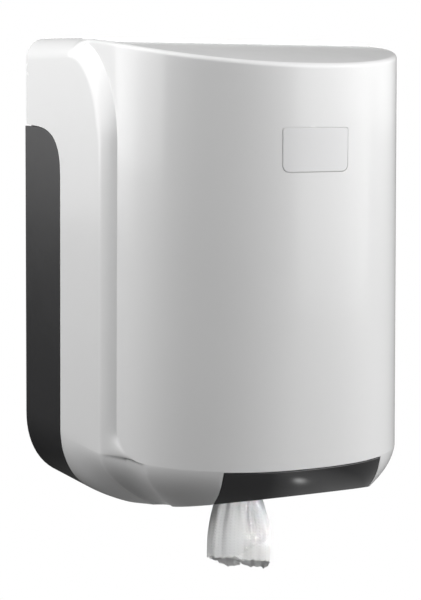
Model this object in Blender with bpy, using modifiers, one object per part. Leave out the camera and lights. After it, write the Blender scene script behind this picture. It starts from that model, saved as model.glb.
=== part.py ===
"""Wall-mounted centre-pull paper towel dispenser, in metres, +Z up.

The wall is the plane Y = 0 and the front faces -Y, so a depth below is a distance from the wall and
Y = -depth. The origin is the middle of the wall face. The cover is a white shell that hangs on two pins near
the top of a dark back housing and swings up. The roll stands on a tray inside it, and its sheets are pulled
from the middle of the roll, down through a nozzle."""

import math

import bmesh
import bpy
import numpy as np
from mathutils import Matrix, Vector

# Casing
HEIGHT = 0.360
BOTTOM_WIDTH = 0.240
SIDE_DRAFT = 0.0096
DEPTH = 0.2675
WALL = 0.003
FIT = 0.0003

# Crowned top
TOP_SLOPE = 0.005
TOP_CROWN = 0.019
TOP_CROWN_POWER = 2.8
TOP_EDGE_WIDTH = 0.017
TOP_EDGE_HEIGHT = 0.014
RIM_RADIUS = 0.003

# Flat sides, the band at their front edge, and the barrel that stands out of them
SIDE_FLAT_DEPTH = 0.1567
BAND_DEPTH = 0.0134
BAND_SWELL = 0.09
SIDE_STEP = 0.0072
CORNER_RADIUS = 0.076
CORNER_DROP = 0.0041
BARREL_START = 0.157
BARREL_POWER = 2.29

# Lower part: rounded bottom corners, the barrel's crisp lower edge, and the band that leans in under it
CORNER_WIDTH = 0.049
CORNER_HEIGHT = 0.057
CORNER_POWER = 2.2
SKIRT_HEIGHT = 0.050
SKIRT_CORNER_HEIGHT = 0.020
SKIRT_CORNER_DEPTH = 0.205
LEAN_STRAIGHT = 0.006
LEAN_CURVED = 0.034
LEAN_START_DEPTH = 0.076
LEAN_FULL_DEPTH = 0.170
LEAN_EXTRA = 0.6
LEAN_EXTRA_END = 0.260
FLOOR_FLAT_DEPTH = 0.090
FLOOR_RISE = 0.024
FLOOR_RUN = 0.1515
FLOOR_POWER = 1.5

# Back housing
BASE_DEPTH = 0.076
CHEEK_TOP = 0.290
CHEEK_ROUND = 0.045
CHEEK_POWER = 3.2
BACK_TOP = 0.342
SEAM = 0.0006
COVER_REAR_GAP = 0.0025
RIB_HEIGHT = 0.005
RIB_SPACING = 0.036
KEYHOLE_SPACING = 0.124
KEYHOLE_HEIGHTS = (0.105, 0.272)
KEYHOLE_HEAD = 0.0045
KEYHOLE_SHANK = 0.0025
KEYHOLE_RISE = 0.009

# Cover opening under the roll, hinge and latch
OPENING_REAR = 0.160
OPENING_TAPER_SETBACK = 0.0675
LIP_WIDTH = 0.130
NOTCH_GAP = 0.0008
HINGE_DEPTH = 0.014
HINGE_DROP = 0.0075
HINGE_SETBACK = 0.030
PIN_RADIUS = 0.00175
EAR_RADIUS = 0.005
EAR_THICKNESS = 0.004
ARM_THICKNESS = 0.004
HINGE_GAP = 0.0010
SLOT_DEPTH = 0.0065
BRACKET_RADIUS = 0.0042
BRACKET_FOOT_TOP = 0.340
BRACKET_FOOT_HEIGHT = 0.022
BRACKET_FOOT_WIDTH = 0.018

# Roll, tray and floor pan
ROLL_SIDE_GAP = 0.019
ROLL_FRONT_GAP = 0.0175
ROLL_BACK_GAP = 0.048
ROLL_TOP_GAP = 0.051
ROLL_HOLE_RADIUS = 0.031
ROLL_BASE = 0.074
TRAY_THICKNESS = 0.003
TRAY_EDGE = 0.006
TRAY_FRONT_REACH = 0.059
TRAY_WEB_SPREAD = 0.116
TRAY_WEB_THICKNESS = 0.0025
TRAY_WEB_REACH = 0.047
TRAY_FLANGE_HEIGHT = 0.030
TRAY_HOLE_RADIUS = 0.0247
GUIDE_RING_HEIGHT = 0.005
PAN_THICKNESS = 0.003
PAN_RECESS = 0.0015
PAN_HOLE_RADIUS = 0.028
ROLL_GUIDE_HEIGHTS = (0.140, 0.240)
ROLL_GUIDE_GAP = 0.002
ROLL_GUIDE_WIDTH = 0.140
ROLL_GUIDE_THICKNESS = 0.0025
ROLL_GUIDE_FLANGE = 0.012

# Nozzle, from its flange on the tray down to its mouth
NOZZLE_FLANGE_RADIUS = 0.0268
NOZZLE_FLANGE_THICKNESS = 0.002
NOZZLE_NECK_RADIUS = 0.0244
NOZZLE_MOUTH_RADIUS = 0.0175
NOZZLE_WALL = 0.002
NOZZLE_LENGTH = 0.054
NOZZLE_STRAIGHT = 0.009
NOZZLE_RING_WIDTH = 0.0035
NOZZLE_RING_THICKNESS = 0.0028

# Cam lock in the floor pan, and the cover's hook
LOCK_SETBACK = 0.0525
LOCK_PAD_STEP = 0.0035
LOCK_PAD_RADIUS = 0.013
LOCK_PAD_THICKNESS = 0.004
LOCK_FLANGE_RADIUS = 0.0095
LOCK_FLANGE_THICKNESS = 0.0014
LOCK_BODY_RADIUS = 0.0075
LOCK_BODY_LENGTH = 0.0103
LOCK_PLUG_RADIUS = 0.005
LOCK_NUT_RADIUS = 0.0105
LOCK_NUT_THICKNESS = 0.0038
KEY_SLOT_WIDTH = 0.0012
KEY_SLOT_LENGTH = 0.006
KEY_SLOT_DEPTH = 0.004
CAM_LENGTH = 0.016
CAM_WIDTH = 0.008
CAM_THICKNESS = 0.0024
CAM_SPINDLE_RADIUS = 0.0028
CAM_SCREW_RADIUS = 0.0042
HOOK_THICKNESS = 0.003
HOOK_OFFSET = 0.011
HOOK_RAIL_HEIGHT = 0.007
HOOK_POST_WIDTH = 0.004
HOOK_POST_DROP = 0.0055
HOOK_PLAY = 0.0025
ROLL_SWING_GAP = 0.003

# Blank plate on the front
PLATE_WIDTH = 0.0525
PLATE_HEIGHT = 0.0307
PLATE_CENTRE = 0.2760
PLATE_RECESS = 0.0008
PLATE_TOP_RADIUS = 0.0015
PLATE_CORNER_HEIGHT = 0.0050

# Screws
SCREW_HEAD_RADIUS = 0.0033
SCREW_HEAD_HEIGHT = 0.0018
SCREW_SHANK_RADIUS = 0.0015
SCREW_LENGTH = 0.0055
SCREW_CLEARANCE = 0.0003

# Towel that hangs out
TAIL_NECK_RADIUS = 0.0152
TAIL_TOP = 0.105
TAIL_LEFT_END = 0.043
TAIL_RIGHT_END = 0.056
TAIL_HALF_WIDTH = 0.0285
TAIL_HALF_DEPTH = 0.0160
TAIL_SPREAD_HEIGHT = 0.052
TAIL_FOLDS = 7
TAIL_FOLD_DEPTH = 0.13

# Facets
SIDE_COLUMNS = 4
BAND_COLUMNS = 4
BARREL_COLUMNS = 15
UPPER_ROWS = 8
EDGE_ROWS = 4
LOWER_ROWS = 8
SKIRT_ROWS = 5
ROUND_SEGMENTS = 40

UNDERSIDE = -HEIGHT / 2
TOP = HEIGHT / 2
SKIRT = UNDERSIDE + SKIRT_HEIGHT
CORNER_DEPTH = SIDE_FLAT_DEPTH + BAND_DEPTH - CORNER_RADIUS
CORNER_Z = TOP - CORNER_RADIUS - CORNER_DROP
HINGE_Z = TOP - HINGE_DROP
HINGE_SPREAD = BOTTOM_WIDTH - 2 * HINGE_SETBACK
OPENING_TAPER_DEPTH = DEPTH - OPENING_TAPER_SETBACK
ROLL_RADIUS = min(BOTTOM_WIDTH / 2 - WALL - ROLL_SIDE_GAP,
                  (DEPTH - 2 * WALL - ROLL_BACK_GAP - ROLL_FRONT_GAP) / 2)
ROLL_DEPTH = WALL + ROLL_BACK_GAP + ROLL_RADIUS
ROLL_HEIGHT = HEIGHT - ROLL_BASE - ROLL_TOP_GAP
ROLL_Z = UNDERSIDE + ROLL_BASE
TRAY_TOP = ROLL_Z - FIT
TRAY_BOTTOM = TRAY_TOP - TRAY_THICKNESS
TRAY_RADIUS = ROLL_RADIUS - TRAY_EDGE
TRAY_FRONT_DEPTH = ROLL_DEPTH + TRAY_FRONT_REACH
TRAY_WEB_DEPTH = ROLL_DEPTH + TRAY_WEB_REACH
LOCK_DEPTH = DEPTH - LOCK_SETBACK
CUTTER_REACH = 0.4

WHITE = ((0.80, 0.81, 0.82), 0.22, 0.0)
CHARCOAL = ((0.055, 0.056, 0.058), 0.40, 0.0)
GLOSS_CHARCOAL = ((0.045, 0.046, 0.048), 0.12, 0.0)
GREY = ((0.33, 0.34, 0.35), 0.45, 0.0)
STEEL = ((0.62, 0.62, 0.63), 0.28, 1.0)
ZINC = ((0.55, 0.55, 0.56), 0.35, 1.0)
PLATE_GREY = ((0.74, 0.75, 0.76), 0.30, 0.0)
PAPER = ((0.86, 0.86, 0.85), 0.95, 0.0)


def clear_scene():
    """Empty the file, without closing it."""
    for item in list(bpy.data.objects):
        bpy.data.objects.remove(item, do_unlink=True)
    for group in list(bpy.data.collections):
        bpy.data.collections.remove(group)


def make_collection(name):
    group = bpy.data.collections.new(name)
    bpy.context.scene.collection.children.link(group)
    return group


def make_material(name, look):
    colour, roughness, metallic = look
    material = bpy.data.materials.new(name)
    material.use_nodes = True
    shader = material.node_tree.nodes["Principled BSDF"]
    shader.inputs["Base Color"].default_value = (*colour, 1.0)
    shader.inputs["Roughness"].default_value = roughness
    shader.inputs["Metallic"].default_value = metallic
    return material


def object_from_bmesh(name, bm, group):
    """Put a finished bmesh into a new object, with its faces pointing out."""
    bmesh.ops.recalc_face_normals(bm, faces=bm.faces)
    mesh = bpy.data.meshes.new(name)
    bm.to_mesh(mesh)
    bm.free()
    item = bpy.data.objects.new(name, mesh)
    group.objects.link(item)
    return item


def finish(item, look, smooth_angle=35.0):
    """Give a part its own material and smooth its round faces."""
    item.data.materials.clear()
    item.data.materials.append(make_material(item.name, look))
    item.data.shade_smooth()
    item.data.set_sharp_from_angle(angle=math.radians(smooth_angle))
    return item


def apply_boolean(item, other, operation, solver="EXACT"):
    """Run one Boolean on a part and keep its result as the part's mesh."""
    modifier = item.modifiers.new(operation.lower(), "BOOLEAN")
    modifier.operation = operation
    modifier.object = other
    modifier.solver = solver
    bpy.context.view_layer.update()
    evaluated = item.evaluated_get(bpy.context.evaluated_depsgraph_get())
    result = bpy.data.meshes.new_from_object(evaluated)
    item.modifiers.remove(modifier)
    item.data = result


def cut(item, *cutters):
    for cutter in cutters:
        apply_boolean(item, cutter, "DIFFERENCE")


def join(item, *pieces):
    """Fuse construction pieces into a part, and drop them."""
    for piece in pieces:
        apply_boolean(item, piece, "UNION")
        bpy.data.objects.remove(piece, do_unlink=True)


def hide_cutter(item):
    item.hide_render = True
    item.display_type = "WIRE"
    return item


def box(name, group, low, high):
    """A box between two corners, given as (x, depth, z)."""
    bm = bmesh.new()
    bmesh.ops.create_cube(bm, size=1.0)
    size = [abs(b - a) for a, b in zip(low, high)]
    middle = [(a + b) / 2 for a, b in zip(low, high)]
    bmesh.ops.scale(bm, vec=size, verts=bm.verts)
    bmesh.ops.translate(bm, vec=(middle[0], -middle[1], middle[2]), verts=bm.verts)
    return object_from_bmesh(name, bm, group)


def cylinder(name, group, centre, radius, length, axis="Z", segments=ROUND_SEGMENTS):
    """A cylinder about a centre given as (x, depth, z)."""
    bm = bmesh.new()
    bmesh.ops.create_cone(bm, cap_ends=True, segments=segments, radius1=radius, radius2=radius, depth=length)
    if axis == "X":
        bmesh.ops.rotate(bm, cent=(0, 0, 0), matrix=Matrix.Rotation(math.pi / 2, 3, "Y"), verts=bm.verts)
    elif axis == "Y":
        bmesh.ops.rotate(bm, cent=(0, 0, 0), matrix=Matrix.Rotation(math.pi / 2, 3, "X"), verts=bm.verts)
    bmesh.ops.translate(bm, vec=(centre[0], -centre[1], centre[2]), verts=bm.verts)
    return object_from_bmesh(name, bm, group)


def extrude_outline(name, group, outline, direction):
    """A flat outline of (x, depth, z) points, drawn out along a direction in the same terms."""
    bm = bmesh.new()
    face = bm.faces.new([bm.verts.new((x, -depth, z)) for x, depth, z in outline])
    drawn = bmesh.ops.extrude_face_region(bm, geom=[face])
    moved = [part for part in drawn["geom"] if isinstance(part, bmesh.types.BMVert)]
    bmesh.ops.translate(bm, vec=(direction[0], -direction[1], direction[2]), verts=moved)
    return object_from_bmesh(name, bm, group)


def arc_points(centre, radius, start, end, count):
    """Points of an arc in a plane, angles in degrees."""
    angles = np.radians(np.linspace(start, end, count))
    return [(centre[0] + radius * math.cos(a), centre[1] + radius * math.sin(a)) for a in angles]


def revolve(name, group, profile, centre, segments=ROUND_SEGMENTS):
    """A closed turned profile of (radius, z) points, top to bottom down its outer side, about a vertical
    axis at (x, depth)."""
    mesh = bpy.data.meshes.new(name)
    edges = [(i, (i + 1) % len(profile)) for i in range(len(profile))]
    mesh.from_pydata([(r, 0, z) for r, z in profile], edges, [])
    item = bpy.data.objects.new(name, mesh)
    group.objects.link(item)
    screw = item.modifiers.new("turn", "SCREW")
    screw.steps = segments
    screw.render_steps = segments
    screw.use_merge_vertices = True
    screw.merge_threshold = 0.00001
    bpy.context.view_layer.update()
    evaluated = item.evaluated_get(bpy.context.evaluated_depsgraph_get())
    turned = bpy.data.meshes.new_from_object(evaluated)
    bpy.data.objects.remove(item, do_unlink=True)
    bm = bmesh.new()
    bm.from_mesh(turned)
    bmesh.ops.remove_doubles(bm, verts=bm.verts, dist=0.00001)
    bmesh.ops.translate(bm, vec=(centre[0], -centre[1], 0), verts=bm.verts)
    return object_from_bmesh(name, bm, group)


# Outer skin of the casing

def half_width(z):
    """Half the casing's width, with the moulding draft."""
    return BOTTOM_WIDTH / 2 - SIDE_DRAFT * (z - UNDERSIDE)


def top_height(depth):
    """The crowned top falls towards the front by a straight slope and a power of the depth."""
    share = np.maximum(depth, 0) / DEPTH
    return TOP - TOP_SLOPE * share - TOP_CROWN * share ** TOP_CROWN_POWER


def floor_height(depth):
    """Height of the casing's floor, which rises towards the front as a power of the depth."""
    return UNDERSIDE + FLOOR_RISE * (np.maximum(depth - FLOOR_FLAT_DEPTH, 0) / FLOOR_RUN) ** FLOOR_POWER


def lower_lean(drop):
    """How far the band under the barrel has leaned in, at a distance below its edge."""
    share = np.maximum(drop, 0) / SKIRT_HEIGHT
    return LEAN_STRAIGHT * share + LEAN_CURVED * share ** 2


def lower_inset(drop, depth, inset):
    """How far the lower part has drawn in below the skirt edge: a quarter of a superellipse at the rear, the
    leaning band at the front, and a smooth change from one to the other, with a fuller lean between."""
    height = CORNER_HEIGHT - inset
    below = np.clip((drop + CORNER_HEIGHT - SKIRT_HEIGHT) / height, 0, 1)
    corner = (CORNER_WIDTH - inset) * (1 - (1 - below ** CORNER_POWER) ** (1 / CORNER_POWER))
    share = np.clip((depth - LEAN_START_DEPTH) / (LEAN_FULL_DEPTH - LEAN_START_DEPTH), 0, 1)
    share = share * share * (3 - 2 * share)
    extra = np.clip((depth - LEAN_START_DEPTH) / (LEAN_EXTRA_END - LEAN_START_DEPTH), 0, 1)
    fuller = LEAN_EXTRA * LEAN_CURVED * np.sin(np.pi * extra) ** 2 * (np.maximum(drop, 0) / SKIRT_HEIGHT) ** 2
    return corner + (lower_lean(drop) + fuller - corner) * share


def crease_depth(z):
    """Depth of the crease between side and barrel: upright, then round a quarter ellipse into the skirt
    edge."""
    turn = np.clip((SKIRT + SKIRT_CORNER_HEIGHT - z) / SKIRT_CORNER_HEIGHT, 0, 1)
    upright = SIDE_FLAT_DEPTH + BAND_DEPTH
    return upright + (SKIRT_CORNER_DEPTH - upright) * (1 - np.sqrt(1 - turn ** 2))


def barrel_depth(x, z, inset=0.0):
    """Depth of the barrel, or of the band under it, at a distance from the middle."""
    lean = lower_lean(SKIRT - z)
    reach = DEPTH - inset - BARREL_START - lean
    half = half_width(z) - SIDE_STEP - inset - lean
    share = np.clip(np.abs(x) / half, 0, 1)
    return BARREL_START + reach * (1 - share ** BARREL_POWER) ** (1 / BARREL_POWER)


def lip_bottom(x, inset=0.0):
    """Height at which the band under the barrel meets the floor, at a distance from the middle."""
    z = SKIRT - SKIRT_HEIGHT / 2 + 0 * np.asarray(x)
    for _ in range(8):
        z = floor_height(barrel_depth(x, z, inset))
    return z


def barrel_point(share, crease, z, inset):
    """A point at a share of the way from the crease to the middle of the front: along the straight flank
    first, then round the superellipse. Returns half-width, depth and the outward direction."""
    half = half_width(z) - SIDE_STEP - inset
    reach = DEPTH - inset - BARREL_START
    flank = np.maximum(BARREL_START - crease, 0)
    first = np.arccos(np.clip((crease - BARREL_START) / reach, 0, 1) ** (BARREL_POWER / 2))
    travel = share * (flank + first * reach)
    angle = first * np.clip(1 - (travel - flank) / (first * reach), 0, 1)
    angle = np.where(travel < flank, np.pi / 2, angle)
    x = half * np.sin(angle) ** (2 / BARREL_POWER)
    curved = BARREL_START + reach * np.maximum(np.cos(angle), 0) ** (2 / BARREL_POWER)
    depth = np.where(travel < flank, crease + travel, curved)
    across = (x / half) ** (BARREL_POWER - 1) / half
    forward = (np.maximum(depth - BARREL_START, 0) / reach) ** (BARREL_POWER - 1) / reach
    length = np.hypot(across, forward)
    return x, depth, across / length, forward / length


def skin_columns(inset, rear):
    """The skin's left half as arrays of half-width, depth and height, one row a level and one column a
    station from the rear edge round to the middle of the front. Each column runs from the floor's edge up
    the wall and over the top edge. Levels: the lower part, the corner of the skirt edge, the upright wall,
    the upper corner of the sides, then the top edge's rounding."""
    side_share = np.linspace(0, 1, SIDE_COLUMNS)
    band_share = np.linspace(0, 1, BAND_COLUMNS + 1)[1:]
    barrel_share = np.linspace(0, 1, BARREL_COLUMNS + 1)[1:]
    last_band = SIDE_COLUMNS + BAND_COLUMNS - 1
    corner_cut = inset * math.tan(math.radians(15))
    radii = CORNER_RADIUS - BAND_DEPTH * (1 - np.concatenate([[0.0], band_share])) - corner_cut
    rows = []

    def level(z, flat, crease, band_z, barrel_z, swell):
        """One contour, from the depths of the band's two edges and the heights of its three stretches."""
        crease_x, _, _, _ = barrel_point(0.0, crease, band_z[-1], inset)
        side_d = rear + side_share * (flat - rear)
        side_x = half_width(z) - inset - lower_inset(np.minimum(SKIRT - z, 0), side_d, inset)
        outer_x = half_width(band_z) - inset
        bulge = np.sin(np.pi * band_share) * swell
        band_x = outer_x + (crease_x - outer_x[-1]) * (band_share - bulge)
        barrel_x, barrel_d, _, _ = barrel_point(barrel_share, crease, barrel_z, inset)
        return np.concatenate([side_x, band_x, barrel_x]), side_d, barrel_d

    upright = []
    for turn in np.linspace(np.pi / 2, 0, SKIRT_ROWS):
        z = SKIRT + SKIRT_CORNER_HEIGHT * (1 - math.sin(turn))
        upright.append((z, BAND_SWELL + 0.07 * math.sin(turn) ** 2))
    upright.append((CORNER_Z, BAND_SWELL))
    for z, swell in upright:
        flat = CORNER_DEPTH + radii[0]
        crease = crease_depth(z) - corner_cut
        x, side_d, barrel_d = level(z, flat, crease, z + 0 * band_share, z, swell)
        depth = np.concatenate([side_d, flat + band_share * (crease - flat), barrel_d])
        rows.append((x, depth, z + 0 * x))
    x0, d0, _ = rows[0]
    half = half_width(SKIRT) - SIDE_STEP - inset
    reach = DEPTH - inset - BARREL_START
    lean_x = np.concatenate([1 + 0 * side_share, 0 * band_share, x0[last_band + 1:] / half])
    lean_d = np.concatenate([0 * side_share, 0 * band_share, (d0[last_band + 1:] - BARREL_START) / reach])
    lean_x[SIDE_COLUMNS:last_band + 1] = 1 - band_share * (1 - x0[last_band] / half)
    lean_d[SIDE_COLUMNS:last_band + 1] = band_share * (d0[last_band] - BARREL_START) / reach
    full = SKIRT - floor_height(d0) - inset
    for _ in range(8):
        full = SKIRT - inset - floor_height(d0 - lean_d * lower_inset(full, d0, inset))
    lower = []
    for turn in np.linspace(np.pi / 2, 0, LOWER_ROWS + 1)[:-1]:
        drop = full * math.sin(turn)
        drawn = lower_inset(drop, d0, inset) - lower_inset(0.0, d0, inset)
        lower.append((x0 + lean_x * (SIDE_DRAFT * drop - drawn), d0 - lean_d * drawn, SKIRT - drop))
    rows = lower + rows
    edge_heights = TOP_EDGE_HEIGHT + (RIM_RADIUS - TOP_EDGE_HEIGHT) * np.concatenate([[0.0], band_share])
    sweep_end = np.pi / 2 + 0 * radii
    for _ in range(6):
        end_z = top_height(CORNER_DEPTH + radii * np.cos(sweep_end)) - inset - edge_heights
        sweep_end = np.arcsin(np.clip((end_z - CORNER_Z) / radii, 0, 0.9995))
    for share in np.linspace(0, 1, UPPER_ROWS + 1)[1:]:
        band_z = CORNER_Z + radii * np.sin(share * sweep_end)
        band_d = CORNER_DEPTH + radii * np.cos(share * sweep_end)
        rise = math.sin(share * sweep_end[-1]) / math.sin(sweep_end[-1])
        barrel_z = band_z[-1] + 0 * barrel_share
        for _ in range(4):
            x, side_d, barrel_d = level(band_z[0], band_d[0], band_d[-1], band_z[1:], barrel_z, BAND_SWELL)
            limit = top_height(barrel_d) - inset - RIM_RADIUS
            barrel_z = CORNER_Z + (limit - CORNER_Z) * rise
        depth = np.concatenate([side_d, band_d[1:], barrel_d])
        rows.append((x, depth, np.concatenate([band_z[0] + 0 * side_share, band_z[1:], barrel_z])))
    x, depth, z = rows[-1]
    _, _, across, forward = barrel_point(barrel_share, depth[last_band], z[-1], inset)
    widths = TOP_EDGE_WIDTH + (RIM_RADIUS - TOP_EDGE_WIDTH) * np.concatenate([[0.0], band_share])
    reach_x = np.concatenate([widths[0] + 0 * side_share, widths[1:], RIM_RADIUS * across])
    reach_d = np.concatenate([0 * side_share, 0 * band_share, RIM_RADIUS * forward])
    for turn in np.linspace(0, np.pi / 2, EDGE_ROWS + 1)[1:]:
        inward = 1 - math.cos(turn)
        edge_d = depth - reach_d * inward
        height = z + (top_height(edge_d) - inset - z) * math.sin(turn)
        rows.append((x - reach_x * inward, edge_d, height))
    return [np.array([row[axis] for row in rows]) for axis in range(3)]


def skin_solid(name, group, inset, rear, ribs=6):
    """The space inside the skin as a closed solid: both walls, the floor and the top drawn straight across
    from wall to wall, and a flat rear."""
    x, depth, z = skin_columns(inset, rear)
    levels, stations = x.shape
    bm = bmesh.new()
    left = [[bm.verts.new((-x[i, j], -depth[i, j], z[i, j])) for j in range(stations)] for i in range(levels)]
    right = [[bm.verts.new((x[i, j], -depth[i, j], z[i, j])) for j in range(stations - 1)]
             for i in range(levels)]
    for i in range(levels):
        right[i].append(left[i][-1])
    for i in range(levels - 1):
        for j in range(stations - 1):
            bm.faces.new((left[i][j], left[i][j + 1], left[i + 1][j + 1], left[i + 1][j]))
            bm.faces.new((right[i][j], right[i + 1][j], right[i + 1][j + 1], right[i][j + 1]))
    rear_edges = []
    for row in (0, levels - 1):
        across = []
        for start, end in zip(left[row][:-1], right[row][:-1]):
            inner = [bm.verts.new(start.co.lerp(end.co, k / ribs)) for k in range(1, ribs)]
            across.append([start, *inner, end])
        across.append([left[row][-1]] * (ribs + 1))
        rear_edges.append(across[0][1:-1])
        for near, far in zip(across, across[1:]):
            for k in range(ribs):
                corners = [near[k], far[k], far[k + 1], near[k + 1]]
                bm.faces.new(list(dict.fromkeys(corners)))
    bmesh.ops.triangulate(bm, faces=bm.faces)
    floor_edge, top_edge = rear_edges
    rear_loop = [row[0] for row in left] + top_edge + [row[0] for row in reversed(right)] + floor_edge[::-1]
    bm.faces.new(rear_loop)
    return object_from_bmesh(name, bm, group)


def skin_patch(name, group, half, low, high, outer, inner, columns=10, rows=4):
    """A slab that follows the front of the skin: outer and inner are its faces' distances in from the skin,
    and half, low and high bound it across and in height. Low may differ from column to column."""
    across = np.linspace(-half, half, columns + 1)
    share = np.linspace(0, 1, rows + 1)[:, None]
    grid_z = low + (high - low) * share + 0 * across
    grid_x = across + 0 * grid_z
    bm = bmesh.new()
    layers = []
    for inset in (outer, inner):
        grid_d = barrel_depth(grid_x, grid_z, inset)
        layers.append([[bm.verts.new((grid_x[i, j], -grid_d[i, j], grid_z[i, j]))
                        for j in range(columns + 1)] for i in range(rows + 1)])
    for layer in layers:
        for i in range(rows):
            for j in range(columns):
                bm.faces.new((layer[i][j], layer[i][j + 1], layer[i + 1][j + 1], layer[i + 1][j]))
    border = [(0, j) for j in range(columns)] + [(i, columns) for i in range(rows)]
    border += [(rows, j) for j in range(columns, 0, -1)] + [(i, 0) for i in range(rows, 0, -1)]
    for (i, j), (k, m) in zip(border, border[1:] + border[:1]):
        bm.faces.new((layers[0][i][j], layers[0][k][m], layers[1][k][m], layers[1][i][j]))
    return object_from_bmesh(name, bm, group)


def plate_outline(grow):
    """Rounded rectangle of the blank plate, seen from the front, with larger lower corners."""
    half = PLATE_WIDTH / 2 + grow
    low = UNDERSIDE + PLATE_CENTRE - PLATE_HEIGHT / 2 - grow
    high = UNDERSIDE + PLATE_CENTRE + PLATE_HEIGHT / 2 + grow
    top, bottom = PLATE_TOP_RADIUS + grow, PLATE_CORNER_HEIGHT + grow
    points = arc_points((half - bottom, low + bottom), bottom, -90, 0, 5)
    points += arc_points((half - top, high - top), top, 0, 90, 3)
    points += arc_points((top - half, high - top), top, 90, 180, 3)
    points += arc_points((bottom - half, low + bottom), bottom, 180, 270, 5)
    return points


def cheek_edge(offset):
    """The dark cheeks' top edge in side view, as (depth, z), from the wall to their front: a quarter of a
    superellipse."""
    reach = BASE_DEPTH + offset
    top = UNDERSIDE + CHEEK_TOP + offset
    angles = np.linspace(0, np.pi / 2, 13)
    depths = reach * np.sin(angles) ** (2 / CHEEK_POWER)
    heights = top - CHEEK_ROUND + CHEEK_ROUND * np.maximum(np.cos(angles), 0) ** (2 / CHEEK_POWER)
    return list(zip(depths, heights))


def opening_half(depth, gap=0.0):
    """Half the width of the cover's opening under the roll, which tapers to the lip's width."""
    share = min(1.0, max(0.0, (depth - BASE_DEPTH) / (OPENING_TAPER_DEPTH - BASE_DEPTH)))
    return OPENING_REAR / 2 + (LIP_WIDTH - OPENING_REAR) / 2 * share - gap


def hinge_ring(radius):
    """Distance rule for the cover's swing: the height below the hinge of a circle about it, at a depth."""
    return lambda depth: HINGE_Z - math.sqrt(radius ** 2 - (depth - HINGE_DEPTH) ** 2)


def make_hook(group):
    """The cover's hook: a blade that follows the circle of the cover's swing, just outside the roll's lower
    front edge, with a post that stands behind the lock's cam."""
    roll_reach = math.sqrt(ROLL_RADIUS ** 2 - HOOK_OFFSET ** 2)
    clear = math.hypot(ROLL_DEPTH + roll_reach - HINGE_DEPTH, HINGE_Z - ROLL_Z) + ROLL_SWING_GAP
    upper = hinge_ring(clear)
    lower = hinge_ring(clear + HOOK_RAIL_HEIGHT)
    post_front = LOCK_DEPTH - CAM_WIDTH / 2 - HOOK_PLAY
    post_rear = post_front - HOOK_POST_WIDTH
    wall_depth = float(barrel_depth(HOOK_OFFSET, ROLL_Z, WALL)) + WALL / 2
    depths = np.linspace(post_rear, wall_depth, 8)
    outline = [(HOOK_OFFSET, d, upper(d)) for d in depths]
    outline += [(HOOK_OFFSET, d, lower(d)) for d in np.linspace(wall_depth, post_front, 7)]
    foot = lower(post_rear) - HOOK_POST_DROP
    outline += [(HOOK_OFFSET, post_front, foot), (HOOK_OFFSET, post_rear, foot)]
    return extrude_outline("hook_form", group, outline, (HOOK_THICKNESS, 0, 0))


def make_ear(group, side):
    """One of the cover's two hinge ears: a round boss about the pin, run up into the cover's top."""
    inner = side * (HINGE_SPREAD / 2 + HINGE_GAP)
    outline = arc_points((HINGE_DEPTH, HINGE_Z), EAR_RADIUS, 160, 340, 13)
    reach = TOP - WALL / 2
    outline += [(HINGE_DEPTH + 3 * EAR_RADIUS, reach - 0.0005), (HINGE_DEPTH - EAR_RADIUS, reach)]
    points = [(inner, d, z) for d, z in outline]
    return extrude_outline("ear_form", group, points, (side * EAR_THICKNESS, 0, 0))


def cover_side_edge():
    """Where the cover's sides end above the cheeks, as (depth, z) from the wall to their front: a seam off
    the cheeks, and behind the hinge the circle of the cover's swing, so that it passes over them."""
    edge = cheek_edge(SEAM)
    swing = hinge_ring(HINGE_Z - edge[0][1])
    rear = [(depth, swing(depth)) for depth in np.linspace(0, HINGE_DEPTH, 5)]
    return rear + [(depth, z) for depth, z in edge if depth > HINGE_DEPTH]


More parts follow.
